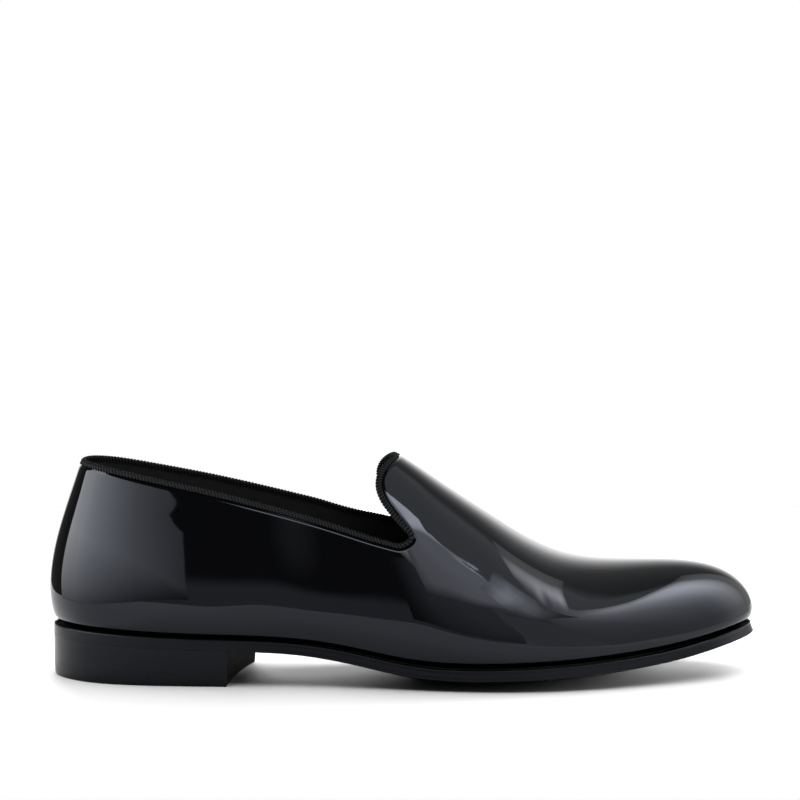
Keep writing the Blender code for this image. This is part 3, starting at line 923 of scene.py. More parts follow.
# The ribbon's darker colour is painted shade in the valleys between its ribs, and its lighter colour is a
# painted highlight on their crests.
RIBBON_CLOTH = Finish(
    "ribbed_ribbon", (0.0008, 0.0008, 0.0010), (0.022, 0.024, 0.027), (0.40, 0.54),
    mottle=0.5, specular=0.05, grains=(Grain(0.18, 0.02),), raised="rib",
)
THREAD = Finish(
    "stitch_thread", (0.0008, 0.0008, 0.0009), (0.002, 0.002, 0.0022), (0.45, 0.6),
    mottle=0.4, specular=0.10, grains=(Grain(0.15, 0.03),),
)
SOLE_BLACK = Finish(
    "stained_sole", STAIN, (0.0028, 0.0028, 0.0032), (0.24, 0.36), mottle=6.0, specular=0.165, tint=COOL_LIGHT_TINT,
    grains=(Grain(0.5, 0.010, stretch=(4.0, 4.0, 1.0)), Grain(3.0, 0.015)),
)
HEEL_BLACK = Finish(
    "stained_heel", STAIN, (0.0028, 0.0028, 0.0032), (0.20, 0.30),
    mottle=5.0, specular=0.175, tint=COOL_LIGHT_TINT, grains=DRAWN,
)
HEEL_RUBBER = Finish(
    "black_rubber", STAIN, (0.0028, 0.0028, 0.0031), (0.24, 0.34),
    mottle=4.0, specular=0.175, tint=COOL_LIGHT_TINT, grains=DRAWN,
)
RAW_LEATHER = Finish(
    "raw_leather", (0.0014, 0.0014, 0.0015), (0.0030, 0.0030, 0.0032), (0.70, 0.85),
    mottle=3.0, specular=0.03, grains=(Grain(0.4, 0.02, stretch=(8.0, 8.0, 1.0)), Grain(2.0, 0.03)),
)
PALE_FLOOR = Finish(
    "pale_floor", (0.160, 0.160, 0.160), (0.163, 0.163, 0.163), (0.85, 0.95), mottle=900.0, specular=0.0
)


def make_object(name: str, points: Array, faces: list[list[int]], finish: Finish) -> bpy.types.Object:
    """Puts points in millimetres and faces into a smooth mesh object.

    Args:
        name: The object's name.
        points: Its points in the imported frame.
        faces: Its faces' point numbers.
        finish: Its finish.

    Returns:
        The object, linked to the scene.
    """
    mesh = bpy.data.meshes.new(name)
    mesh.from_pydata((np.asarray(points) * MM).tolist(), [], faces)
    mesh.validate()
    mesh.shade_smooth()
    mesh.materials.append(finish.material())
    made = bpy.data.objects.new(name, mesh)
    bpy.context.scene.collection.objects.link(made)
    return made


def add_piece(made: bpy.types.Object, slot: str, *nodes: str, sharp: float | None = None) -> None:
    """Makes an object a piece of the shoe.

    Args:
        made: The object.
        slot: The record's material slot; not used.
        nodes: The solids that it stands for.
        sharp: Degrees over which an edge stays a crease.
    """
    if sharp is not None:
        made.data.set_sharp_from_angle(angle=math.radians(sharp))
    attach(made, BODY)
    if nodes:
        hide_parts(*nodes)
    LOG.info("%s: %d faces", made.name, len(made.data.polygons))


def dull_faces(made: bpy.types.Object, finish: Finish, axis: int, least: float) -> None:
    """Gives a second finish to the faces that look along an axis.

    Args:
        made: The object.
        finish: The second finish.
        axis: The axis' number.
        least: How far a face has to look along it, from 0 to 1.
    """
    made.data.materials.append(finish.material())
    normals = np.empty(len(made.data.polygons) * 3, np.float32)
    made.data.polygons.foreach_get("normal", normals)
    facing = normals.reshape(-1, 3)[:, axis] > least
    made.data.polygons.foreach_set("material_index", facing.astype(np.int32))


# Pieces


@dataclass(frozen=True)
class Crease:
    """A soft trough with raised lips, or a soft ridge, along a line on one side of the upper.

    Attributes:
        start: Its back end as seen from the side: along the shoe and above the floor.
        end: Its front end.
        depth: How deep it is, below nought for a ridge.
        width: How wide it is.
        side: The side that it is on.
        lips: How much the leather beside it swings back.
        near: Distances from the middle of the shoe over which it sets in.
    """

    start: Span
    end: Span
    depth: float
    width: float
    side: Side = Side.OUTER
    lips: float = 2.0
    near: Span = (4.0, 14.0)

    def press(self, points: Array) -> Array:
        """Works out its depth: (1 − lips·t²)·exp(−t²) across it, which fades as (4s(1 − s))² to both ends.

        Args:
            points: Points of the upper.

        Returns:
            How deep the crease is there.
        """
        first, run = np.array(self.start), np.subtract(self.end, self.start)
        beside = points[..., [0, 2]] - first
        share = np.clip((beside @ run) / (run @ run), 0.0, 1.0)
        t = np.linalg.norm(beside - share[..., None] * run, axis=-1) / self.width
        fade = (4.0 * share * (1.0 - share)) ** 2
        near = smooth_step(self.side.value * points[..., 1], *self.near)
        return self.depth * (1.0 - self.lips * t * t) * np.exp(-t * t) * fade * near


@dataclass(frozen=True)
class Ripple:
    """A long low wave in the leather.

    Attributes:
        length: Wave length.
        height: Height over the smooth form.
        heading: Direction of the wave, seen from the side: degrees from level.
        start: Where in its turn the wave starts, in degrees.
        skew: How far a crest shifts for each millimetre across the shoe.
    """

    length: float
    height: float
    heading: float
    start: float
    skew: float = 0.3

    def rise(self, points: Array) -> Array:
        """Works out its height: a sine along its heading.

        Args:
            points: Points of the upper.

        Returns:
            The height of the wave there.
        """
        heading = math.radians(self.heading)
        along = points[..., 0] * math.cos(heading) + points[..., 2] * math.sin(heading)
        turn = along + self.skew * points[..., 1]
        return self.height * np.sin(2.0 * np.pi * turn / self.length + math.radians(self.start))


@dataclass
class Upper:
    """The glossy outer leather with its lining.

    Attributes:
        last: The form that it is drawn over.
        wall: Thickness of leather and lining together.
        collar_wall: The same at the collar, where it is skived.
        skive: How far below the collar the skived strip reaches.
        leather_share: Share of the wall that is outer leather.
        pinch: How far the binding presses the leather in.
        pinch_depth: How far below the collar the press is full.
        pinch_fade: How far on from there it runs out.
        free_collar: Distances below the collar over which waves and creases set in.
        free_foot: The same above the foot.
        clear: Share of the lining that is left free, so that it doesn't touch the leather.
        lines_per_node: Lines for each node of the collar's table.
        levels: Points on each line of the outer face.
        levels_in: Points on each line of the hidden faces.
        lining_step: Points of the outer face for each one of the lining.
        crowding: How much closer together levels lie near foot and collar, from 0 to 1.
        creases: Creases, listed one by one.
        ripples: Long waves of the leather.
    """

    last: Last
    wall: float = 1.8
    collar_wall: float = 1.3
    skive: float = 12.0
    leather_share: float = 0.55
    pinch: float = 0.65
    pinch_depth: float = 1.3
    pinch_fade: float = 2.2
    free_collar: Span = (2.0, 14.0)
    free_foot: Span = (1.0, 10.0)
    clear: float = 0.06
    lines_per_node: int = 14
    levels: int = 140
    levels_in: int = 24
    lining_step: int = 2
    crowding: float = 0.6
    creases: tuple[Crease, ...] = (
        Crease((163.0, 61.0), (196.0, 40.0), 0.03, 1.6),
        Crease((205.0, 43.0), (211.0, 33.0), 0.04, 2.2),
        Crease((213.0, 43.0), (220.0, 33.0), 0.05, 2.4),
        Crease((222.0, 43.0), (230.0, 34.0), 0.04, 2.6),
        Crease((174.0, 65.0), (222.0, 20.0), -0.30, 8.0, lips=0.0),
        Crease((192.0, 26.4), (260.0, 31.8), -0.50, 6.5, lips=0.0),
        Crease((218.0, 28.0), (284.0, 45.0), -0.20, 5.0, lips=0.0),
        Crease((166.0, 58.0), (200.0, 38.0), 0.07, 1.3, Side.INNER),
        Crease((206.0, 44.0), (214.0, 30.0), 0.10, 2.6, Side.INNER),
        Crease((218.0, 44.0), (227.0, 32.0), 0.09, 2.6, Side.INNER),
    )
    ripples: tuple[Ripple, ...] = (
        Ripple(47.0, 0.08, 20.0, 40.0),
        Ripple(63.0, 0.07, 75.0, 150.0),
        Ripple(29.0, 0.018, -35.0, 10.0),
        Ripple(19.0, 0.008, 55.0, 200.0),
    )
    skin: Array = field(init=False, repr=False)
    inside: Array = field(init=False, repr=False)
    seam: Array = field(init=False, repr=False)

    def __post_init__(self) -> None:
        """Works out the outer face, the inner face and the face where leather and lining meet.

        Levels lie at t − crowding·sin(2πt)/2π on each line. The outer face is the last's, lifted along its
        normals by the waves less the creases, and pressed in under the binding.
        """
        t = np.linspace(0.0, 1.0, self.levels)
        shares = t - self.crowding * np.sin(2.0 * np.pi * t) / (2.0 * np.pi)
        smooth = self.last.outer_face(self.lines_per_node, shares)
        normals = face_normals(smooth)
        below = line_lengths(smooth[:, ::-1])[:, ::-1]
        above = line_lengths(smooth)
        wall = self.collar_wall + (self.wall - self.collar_wall) * smooth_step(below, 0.0, self.skive)
        self.inside = smooth - normals * wall[..., None] + self.last.shift
        waves = sum(ripple.rise(smooth) for ripple in self.ripples)
        pressed = sum(crease.press(smooth) for crease in self.creases)
        free = smooth_step(below, *self.free_collar) * smooth_step(above, *self.free_foot)
        held = 1.0 - smooth_step(below, self.pinch_depth, self.pinch_depth + self.pinch_fade)
        lift = (waves - pressed) * free - self.pinch * held
        self.skin = smooth + normals * lift[..., None] + self.last.shift
        self.seam = self.skin * (1.0 - self.leather_share) + self.inside * self.leather_share

    def shell(self, outer: Array, inner: Array) -> Mesh:
        """A closed wall between two faces on the same lines."""
        loops = np.concatenate([outer.transpose(1, 0, 2), inner.transpose(1, 0, 2)[::-1]])
        return loops.reshape(-1, 3), tube_faces(*loops.shape[:2], closed=True).tolist()

    def hidden(self, face: Array) -> Array:
        """A face with fewer levels, for where it doesn't show."""
        kept = np.linspace(0, self.levels - 1, self.levels_in).round().astype(int)
        return face[:, kept]

    def build(self) -> None:
        """Makes the leather and the lining."""
        leather = make_object("upper_leather", *self.shell(self.skin, self.hidden(self.seam)), PATENT)
        add_piece(leather, "patent_leather", "upper")
        outer = self.hidden(self.seam * (1.0 - self.clear) + self.inside * self.clear)
        inner = self.inside[:, :: self.lining_step]
        lining = make_object("upper_lining", *self.shell(outer, inner), LINING)
        add_piece(lining, "lining_leather")


@dataclass
class CollarRibbon:
    """The ribbed ribbon folded over the collar, with the stitches that hold it.

    Attributes:
        upper: The upper that it binds.
        thickness: Thickness of the ribbon.
        fit: Gap between it and the leather.
        leg: How far it reaches down on both sides.
        turn: Depth below the collar where the fold begins.
        rib: Distance between two ribs.
        rib_height: How far a rib stands out.
        slant: How far a rib leans along the collar, for each millimetre across the ribbon.
        scallop: How far the ribs draw out the ribbon's edges.
        per_rib: Points along each rib's width.
        leg_points: Points down each leg.
        fold_points: Points over the fold.
        back_step: Points of the face for each one of the hidden back.
        stitch: Length of one stitch.
        stitch_pitch: Distance between two stitches.
        stitch_depth: How far below the collar they run.
        stitch_sink: Share of a rib's height that they lie below its crest.
        stitch_dip: How many radii their ends dip.
        stitch_points: Points along a stitch.
        thread: Radius of their thread.
        thread_end: Radius that is left at their ends.
        thread_sides: Points round the thread.
    """

    upper: Upper
    thickness: float = 0.5
    fit: float = 0.12
    leg: float = 1.9
    turn: float = 0.5
    rib: float = 1.45
    rib_height: float = 0.42
    slant: float = 0.35
    scallop: float = 0.20
    per_rib: int = 6
    leg_points: int = 7
    fold_points: int = 9
    back_step: int = 3
    stitch: float = 1.5
    stitch_pitch: float = 2.6
    stitch_depth: float = 1.2
    stitch_sink: float = 0.4
    stitch_dip: float = 1.6
    stitch_points: int = 9
    thread: float = 0.13
    thread_end: float = 0.004
    thread_sides: int = 8
    rim: Array = field(init=False, repr=False)
    ribs: int = field(init=False)

    def __post_init__(self) -> None:
        """Finds the middle of the collar's edge and how many ribs go round it."""
        self.rim = (self.upper.skin[:, -1] + self.upper.inside[:, -1]) / 2.0
        around = np.linalg.norm(np.roll(self.rim, -1, 0) - self.rim, axis=1).sum()
        self.ribs = round(around / self.rib)

    def leg_lines(self, face: Array, depths: Array, sign: float) -> tuple[Array, Array]:
        """Finds points and outward directions down one leg of the fold, evenly round the collar.

        Args:
            face: The face of the upper that the leg lies on.
            depths: Depths below the collar.
            sign: 1 on the outside and -1 on the inside.

        Returns:
            The points and the directions.
        """
        count = self.ribs * self.per_rib
        points = even_round(below_rim(face, depths), self.rim, count)
        along = np.roll(points, -1, 0) - np.roll(points, 1, 0)
        if len(depths) > 1:
            down = np.gradient(points, axis=1) * np.sign(depths[-1] - depths[0])
        else:
            down = even_round(unit(face[:, -2:-1] - face[:, -1:]), self.rim, count)
        return points, unit(np.cross(along, -down)) * sign

    def ribbon(self) -> tuple[Array, list[list[int]], Array]:
        """Carries the folded section round the collar: two legs joined by a half turn, with ribs as |cos|.

        Returns:
            The ribbon's points and faces, and each point's height on its rib, cos² from crest to valley,
            which mixes a painted highlight on the crests with painted shade in the valleys.
        """
        depths = np.linspace(self.leg, self.turn, self.leg_points)
        outer, outer_normal = self.leg_lines(self.upper.skin, depths, 1.0)
        inner, inner_normal = self.leg_lines(self.upper.inside, depths[::-1], -1.0)
        stand = self.fit + self.thickness
        start = outer[:, -1] + outer_normal[:, -1] * stand
        end = inner[:, 0] + inner_normal[:, 0] * stand
        middle = (start + end)[:, None] / 2.0
        across = (start - end)[:, None] / 2.0
        crown = even_round(self.rim, self.rim, len(outer))[:, None] - middle
        crown = unit(crown) * (np.linalg.norm(crown, axis=-1, keepdims=True) + stand)
        theta = np.linspace(0.0, np.pi, self.fold_points + 2)[1:-1, None]
        fold = middle + np.cos(theta) * across + np.sin(theta) * crown
        fold_normal = unit(np.cos(theta) * unit(across) + np.sin(theta) * unit(crown))
        face = np.concatenate([outer + outer_normal * stand, fold, inner + inner_normal * stand], 1)
        normal = np.concatenate([outer_normal, fold_normal, inner_normal], 1)
        width = line_lengths(face)
        places = np.arange(len(face))[:, None] / self.per_rib
        wave = 2.0 * np.abs(np.cos(np.pi * (places + self.slant * width / self.rib))) - 1.0
        raised = face + normal * (self.rib_height * (wave - 1.0) / 2.0)[..., None]
        run = np.gradient(face, axis=1)
        for end_row, sign in ((0, -1.0), (-1, 1.0)):
            raised[:, end_row] += unit(run[:, end_row]) * sign * self.scallop * wave[:, end_row, None]
        back = (face - normal * self.thickness)[:, :: -self.back_step]
        loops = np.concatenate([raised, back], 1).transpose(1, 0, 2)[::-1]
        rib_light_and_shade = np.hstack([np.square((wave + 1.0) / 2.0), np.zeros(back.shape[:2])]).T[::-1]
        return loops.reshape(-1, 3), tube_faces(*loops.shape[:2], closed=True).tolist(), rib_light_and_shade.ravel()

    def stitches(self) -> Mesh:
        """Lays short capsules along the ribbon: the radius closes as √(1 − s⁶) and the ends dip as s⁴.

        Returns:
            All stitches' points and faces.
        """
        count = round(self.ribs * self.rib / self.stitch_pitch)
        line, normal = self.leg_lines(self.upper.skin, np.array([self.stitch_depth]), 1.0)
        line, normal = line[:, 0], normal[:, 0]
        line = line + normal * (self.fit + self.thickness - self.stitch_sink * self.rib_height)
        share = np.linspace(-1.0, 1.0, self.stitch_points)
        at = (np.arange(count)[:, None] + 0.5 * self.stitch / self.stitch_pitch * share) / count
        centre, out = on_loop(line, at), unit(on_loop(normal, at))
        along = unit(np.gradient(centre, axis=1))
        side = unit(np.cross(along, out))
        radius = self.thread * np.sqrt(np.clip(1.0 - share**6, 0.0, 1.0)) + self.thread_end
        turn = np.linspace(0.0, 2.0 * np.pi, self.thread_sides, endpoint=False)[:, None]
        spokes = np.cos(turn) * side[:, :, None] + np.sin(turn) * out[:, :, None]
        sunk = centre - out * (self.thread * self.stitch_dip * share**4)[:, None]
        points = sunk[:, :, None] + spokes * radius[:, None, None]
        quads = tube_faces(len(share), len(turn), closed=False)
        numbers = np.arange(len(share) * len(turn)).reshape(len(share), -1)
        starts = numbers.size * np.arange(count)[:, None]
        faces = (quads[None] + starts[..., None]).reshape(-1, 4).tolist()
        for cap in (numbers[0, ::-1], numbers[-1]):
            faces += (cap[None] + starts).tolist()
        return points.reshape(-1, 3), faces

    def build(self) -> None:
        """Makes the ribbon and its stitches."""
        points, faces, rib_light_and_shade = self.ribbon()
        ribbon = make_object("collar_ribbon", points, faces, RIBBON_CLOTH)
        # The heights on the ribs mix the ribbon's colours: a painted highlight on the crests, painted shade
        # in the valleys.
        heights = ribbon.data.attributes.new(RIBBON_CLOTH.raised, "FLOAT", "POINT")
        heights.data.foreach_set("value", rib_light_and_shade.astype(np.float32))
        add_piece(ribbon, "ribbon", "collar_binding")
        add_piece(make_object("collar_stitches", *self.stitches(), THREAD), "ribbon")


@dataclass
class Sole:
    """The leather outsole and the foot bed on it.

    Attributes:
        last: The form that they follow.
        top_inset: How far the top of the sole's edge is rounded in.
        top_facing: How far up a face looks, from 0 to 1, to count as the sole's top.
        lip: How far the top of the edge is drawn in at the toe.
        lip_fade: Percents of length over which that begins.
        edge_fade: Percents of length over which the edge's groove runs out towards the heel.
        insole: Thickness of the foot bed.
        insole_inset: How far it stays inside the feather line.
        insole_reach: Share of the sole's half width that it covers.
        sharp: Degrees over which an edge stays a crease.
        rows: Rows along the shoe.
        across: Points in a row.
    """

    last: Last
    top_inset: float = 0.7
    top_facing: float = 0.75
    lip: float = 1.4
    lip_fade: Span = (85.0, 99.0)
    edge_fade: Span = (24.0, 36.0)
    insole: float = 3.0
    insole_inset: float = 3.6
    insole_reach: float = 0.9
    sharp: float = 50.0
    rows: int = 220
    across: int = 41

    def outsole(self) -> Mesh:
        """A ladder of rows with the finished edge carried round it.

        Returns:
            The outsole's points and faces.
        """
        last = self.last
        x = rows_along(last.back, last.tip, self.rows)
        lip_ends = percent(self.lip_fade, last.length)
        drawn_in = self.top_inset + self.lip * smooth_step(x, *lip_ends)
        rows = last.ladder(x, last.sole_form(x, "margin") - drawn_in, self.across)
        q = np.broadcast_to(np.linspace(-1.0, 1.0, self.across), rows.shape[:2])
        high = last.sole_over(rows[..., 0], q)
        low = np.maximum(last.sole_under(rows[..., 0], q), 0.0)
        sides = [last.foot_place(x, Side.OUTER), last.foot_place(x[-2:0:-1], Side.INNER)]
        plan, _, out = last.foot_at(np.concatenate(sides))
        reach = last.sole_form(plan[:, 0], "margin")
        grooved = smooth_step(plan[:, 0], *percent(self.edge_fade, last.length))
        rings = []
        for inset, groove, down in zip(*SOLE_EDGE.values()):
            lip = self.lip * (1.0 - down) * smooth_step(plan[:, 0], *lip_ends)
            ring = plan + out * (reach - inset - groove * grooved - lip)[:, None]
            rings.append(np.column_stack([ring, last.sole_over(ring[:, 0], 1.0) - last.sole * down]))
        points, faces = plate(rows, low, high, rings)
        return points + last.shift, faces

    def foot_bed(self) -> Mesh:
        """A thin plate that follows the sole's top.

        Returns:
            Its points and faces.
        """
        last = self.last
        x = rows_along(last.back, last.tip, self.rows)
        rows = last.ladder(x, -self.insole_inset, self.across)
        q = np.linspace(-self.insole_reach, self.insole_reach, self.across)
        low = last.sole_over(rows[..., 0], np.broadcast_to(q, rows.shape[:2])) + last.fit
        rings = edge_rings(rows, low, low + self.insole, SOCK_EDGE)
        points, faces = plate(rows, low, low + self.insole, rings)
        return points + last.shift, faces

    def build(self) -> None:
        """Makes the outsole and the foot bed."""
        sole = make_object("sole_leather", *self.outsole(), SOLE_BLACK)
        dull_faces(sole, RAW_LEATHER, AXIS_Z, self.top_facing)
        add_piece(sole, "sole_leather", "outsole", sharp=self.sharp)
        sock = make_object("sock_lining", *self.foot_bed(), SOCK)
        add_piece(sock, "lining_leather", "insole", sharp=self.sharp)


def edge_rings(rows: Array, low: Array, high: Array, edge: Table) -> list[Array]:
    """Outlines of a plate's side, drawn in from its rim along the rim's own normals.

    Args:
        rows: The plate's plan points.
        low: Heights of its lower sheet.
        high: Heights of its upper sheet.
        edge: A table of insets, and of shares of the height below the top.

    Returns:
        One ring of points for each row of the table.
    """
    _, rim = plate_rim(rows)
    plan = rows.reshape(-1, 2)[rim]
    tangent = np.roll(plan, -1, 0) - np.roll(plan, 1, 0)
    out = unit(np.stack([tangent[:, 1], -tangent[:, 0]], 1))
    top, bottom = high.ravel()[rim], low.ravel()[rim]
    rings = []
    for inset, down in zip(edge["inset"], edge["down"]):
        rings.append(np.column_stack([plan - out * inset, top + (bottom - top) * down]))
    return rings


@dataclass
class Heel:
    """The stacked heel with its top piece.

    Attributes:
        last: The form that it stands under.
        breast_outer: Percent of length at which its outer side ends.
        breast_inner: The same on its inner side.
        breast_hollow: How far its front curves back in its middle.
        top_piece: Thickness of the lowest lift.
        joint: Gap that is left between the lifts.
        breast_facing: How far forward a face looks, from 0 to 1, to count as the heel's front.
        sharp: Degrees over which an edge stays a crease.
        rows: Rows along it.
        across: Points in a row.
    """

    last: Last
    breast_outer: float = 25.5
    breast_inner: float = 28.4
    breast_hollow: float = 1.5
    top_piece: float = 6.0
    joint: float = 0.02
    breast_facing: float = 0.7
    sharp: float = 40.0
    rows: int = 90
    across: int = 41

    def ladder(self, inset: float) -> Array:
        """Lays rows across the heel, which turn towards its slanting front and hollow as a parabola there.

        Args:
            inset: How far they are drawn in all round.

        Returns:
            The rows' plan points.
        """
        share = 1.0 - np.cos(np.linspace(0.0, np.pi / 2.0, self.rows))
        sides = []
        for side, front in ((Side.OUTER, self.breast_outer), (Side.INNER, self.breast_inner)):
            x = self.last.back + (percent(front, self.last.length) - inset - self.last.back) * share
            plan, _, out = self.last.foot_at(self.last.foot_place(x, side))
            sides.append(plan + out * (self.last.sole_form(plan[:, 0], "margin") - inset)[:, None])
        rows = rows_between(*sides, self.across)
        curve = 1.0 - np.square(np.linspace(-1.0, 1.0, self.across))
        rows[..., 0] -= self.breast_hollow * share[:, None] * curve
        return rows

    def lift(self, low: Array, high: Array, edge: Table) -> Mesh:
        """Makes a plate with a finished side.

        Args:
            low: Heights of its lower sheet.
            high: Heights of its upper sheet.
            edge: The table of its side.

        Returns:
            Its points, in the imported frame, and its faces.
        """
        over, under = (self.ladder(edge["inset"][end]) for end in (0, -1))
        rings = edge_rings(self.ladder(0.0), low, high, edge)
        points, faces = plate(over, low, high, rings, under)
        return points + self.last.shift, faces

    def build(self) -> None:
        """Makes the stack and the top piece."""
        rows = self.ladder(0.0)
        shape = rows.shape[:2]
        q = np.broadcast_to(np.linspace(-1.0, 1.0, self.across), shape)
        high = self.last.sole_under(rows[..., 0], q) - self.joint
        stack = self.lift(np.full(shape, self.top_piece + self.joint), high, STACK_EDGE)
        lowest = self.lift(np.zeros(shape), np.full(shape, self.top_piece), TOP_PIECE_EDGE)
        pieces = (
            ("heel_lifts", stack, HEEL_BLACK, "heel_leather", "heel_stack"),
            ("heel_tip", lowest, HEEL_RUBBER, "heel_rubber", "heel_top_piece"),
        )
        for name, mesh, finish, slot, node in pieces:
            made = make_object(name, *mesh, finish)
            dull_faces(made, RAW_LEATHER, AXIS_X, self.breast_facing)
            add_piece(made, slot, node, sharp=self.sharp)


# Studio


def feed(tree: Nodes, value: Socket | float, socket: Socket) -> None:
    """Gives a node's input its value.

    Args:
        tree: The nodes that it goes with.
        value: A socket that is linked to it, or a number.
        socket: The input.
    """
    if isinstance(value, Socket):
        tree.links.new(value, socket)
    else:
        socket.default_value = value


def math_node(tree: Nodes, operation: str, *values: Socket | float) -> Socket:
    """Adds one Math node.

    Args:
        tree: The nodes that it goes with.
        operation: What it does.
        values: A socket or a number for each input.

    Returns:
        Its result.
    """
    made = tree.nodes.new("ShaderNodeMath")
    made.operation = operation
    for value, socket in zip(values, made.inputs):
        feed(tree, value, socket)
    return made.outputs["Value"]


def ramp(
    tree: Nodes, value: Socket, ends: Span, results: Span = (0.0, 1.0), kind: str = "SMOOTHSTEP"
) -> Socket:
    """Adds a Map Range node that runs from the first end to the second.

    Args:
        tree: The nodes that it goes with.
        value: What is mapped.
        ends: Where it begins and ends.
        results: The values there.
        kind: How it runs between them.

    Returns:
        The mapped value.
    """
    made = tree.nodes.new("ShaderNodeMapRange")
    made.interpolation_type = kind
    made.inputs["From Min"].default_value, made.inputs["From Max"].default_value = ends
    made.inputs["To Min"].default_value, made.inputs["To Max"].default_value = results
    tree.links.new(value, made.inputs["Value"])
    return made.outputs["Result"]


def window(tree: Nodes, value: Socket, ends: Span, soften: Span) -> Socket:
    """Adds a window: 1 in its middle, and falling smoothly to 0 at both ends.

    Args:
        tree: The nodes that it goes with.
        value: What it looks at.
        ends: Where it begins and ends.
        soften: How wide its first and last edges are.

    Returns:
        Its result.
    """
    first, last = ends
    opening = ramp(tree, value, (first, first + soften[0]))
    closing = ramp(tree, value, (last - soften[1], last), (1.0, 0.0))
    return math_node(tree, "MULTIPLY", opening, closing)


def stop_ramp(tree: Nodes, place: Socket, stops: Stops) -> Socket:
    """Adds a ramp that runs straight from stop to stop.

    Args:
        tree: The nodes that it goes with.
        place: Where, from 0 to 1.
        stops: Pairs of place and share.

    Returns:
        The share there.
    """
    made = tree.nodes.new("ShaderNodeValToRGB")
    elements = made.color_ramp.elements
    for _ in stops[2:]:
        elements.new(0.5)
    for element, (where, share) in zip(elements, stops):
        element.position = where
        element.color = (share, share, share, 1.0)
    tree.links.new(place, made.inputs["Fac"])
    return made.outputs["Color"]


def dome_light(tree: Nodes, strength: Socket | float, label: str) -> Socket:
    """Adds white light to the dome.

    Args:
        tree: The world's nodes.
        strength: How bright it is.
        label: What it is.

    Returns:
        The light.
    """
    made = tree.nodes.new("ShaderNodeBackground")
    made.label = label
    made.inputs["Color"].default_value = (1.0, 1.0, 1.0, 1.0)
    feed(tree, strength, made.inputs["Strength"])
    return made.outputs["Background"]


@dataclass(frozen=True)
class Softbox:
    """A soft light in the studio's dome, by the directions that it fills.

    Attributes:
        name: What it is.
        azimuth: Degrees from the camera's side towards the toe, where it begins and ends.
        elevation: Degrees above the floor, where it begins and ends.
        strength: Brightness where it begins and where it ends round the shoe.
        soften: Degrees over which each edge fades: first and last azimuth, lower and upper elevation.
    """

    name: str
    azimuth: Span
    elevation: Span
    strength: Span
    soften: tuple[float, float, float, float]

    def light(self, tree: Nodes, azimuth: Socket, elevation: Socket) -> Socket:
        """Adds its light: a window in azimuth and elevation, times its strength.

        Args:
            tree: The world's nodes.
            azimuth: Degrees round the shoe.
            elevation: Degrees above the floor.

        Returns:
            The light.
        """
        round_shoe = window(tree, azimuth, self.azimuth, self.soften[:2])
        upward = window(tree, elevation, self.elevation, self.soften[2:])
        strength = ramp(tree, azimuth, self.azimuth, self.strength, "LINEAR")
        seen = math_node(tree, "MULTIPLY", round_shoe, upward)
        return dome_light(tree, math_node(tree, "MULTIPLY", seen, strength), self.name)


@dataclass(frozen=True)
class Panel:
    """A lit panel that stands near the shoe and shows only in what the leather mirrors.

    Attributes:
        name: What it is.
        low: Both ends of its lower edge, in millimetres.
        high: Both ends of its upper edge.
        strength: Brightness of its brightest part.
        along: Shares of that from the first end to the last, as pairs of place and share.
        upward: The same from the lower edge to the upper one.
        base: Brightness that all of it has besides.
    """

    name: str
    low: tuple[Point, Point]
    high: tuple[Point, Point]
    strength: float
    along: Stops
    upward: Stops
    base: float = 0.0

    def material(self) -> bpy.types.Material:
        """Makes the panel's glow from its own map of places.

        Returns:
            The material.
        """
        made = bpy.data.materials.new(self.name)
        made.use_nodes = True
        tree = made.node_tree
        tree.nodes.clear()
        place = tree.nodes.new("ShaderNodeUVMap")
        parts = tree.nodes.new("ShaderNodeSeparateXYZ")
        glow = tree.nodes.new("ShaderNodeEmission")
        result = tree.nodes.new("ShaderNodeOutputMaterial")
        tree.links.new(place.outputs["UV"], parts.inputs["Vector"])
        along = stop_ramp(tree, parts.outputs["X"], self.along)
        upward = stop_ramp(tree, parts.outputs["Y"], self.upward)
        share = math_node(tree, "MULTIPLY", along, upward)
        strength = math_node(tree, "MULTIPLY_ADD", share, self.strength, self.base)
        tree.links.new(strength, glow.inputs["Strength"])
        tree.links.new(glow.outputs["Emission"], result.inputs["Surface"])
        return made

    def build(self) -> None:
        """Makes the panel, hidden from the camera and from all that isn't a mirror."""
        mesh = bpy.data.meshes.new(self.name)
        mesh.from_pydata((np.array([*self.low, *self.high]) * MM).tolist(), [], [[0, 1, 3, 2]])
        corners = np.array([[0.0, 0.0], [1.0, 0.0], [1.0, 1.0], [0.0, 1.0]], np.float32)
        mesh.uv_layers.new(name="place").data.foreach_set("uv", corners.ravel())
        mesh.materials.append(self.material())
        made = bpy.data.objects.new(self.name, mesh)
        for ray in ("camera", "diffuse", "transmission", "volume_scatter", "shadow"):
            setattr(made, f"visible_{ray}", False)
        bpy.context.scene.collection.objects.link(made)


@dataclass(frozen=True)
class FloorLight:
    """A lamp that lights the floor alone and casts the shoe's shadow on it.

    Attributes:
        name: What it is.
        heading: Degrees that it shines from, counted from straight behind the shoe towards its toe.
        elevation: Degrees above the floor that it shines from.
        spread: How many degrees wide it looks.
        strength: How strong it is.
    """

    name: str
    heading: float
    elevation: float
    spread: float
    strength: float

    def build(self, lit: bpy.types.Collection) -> None:
        """Hangs the lamp.

        Args:
            lit: What it lights.
        """
        data = bpy.data.lights.new(self.name, "SUN")
        data.energy = self.strength
        data.angle = math.radians(self.spread)
        made = bpy.data.objects.new(self.name, data)
        made.rotation_euler = (math.radians(self.elevation - 90.0), 0.0, math.radians(-self.heading))
        made.light_linking.receiver_collection = lit
        bpy.context.scene.collection.objects.link(made)


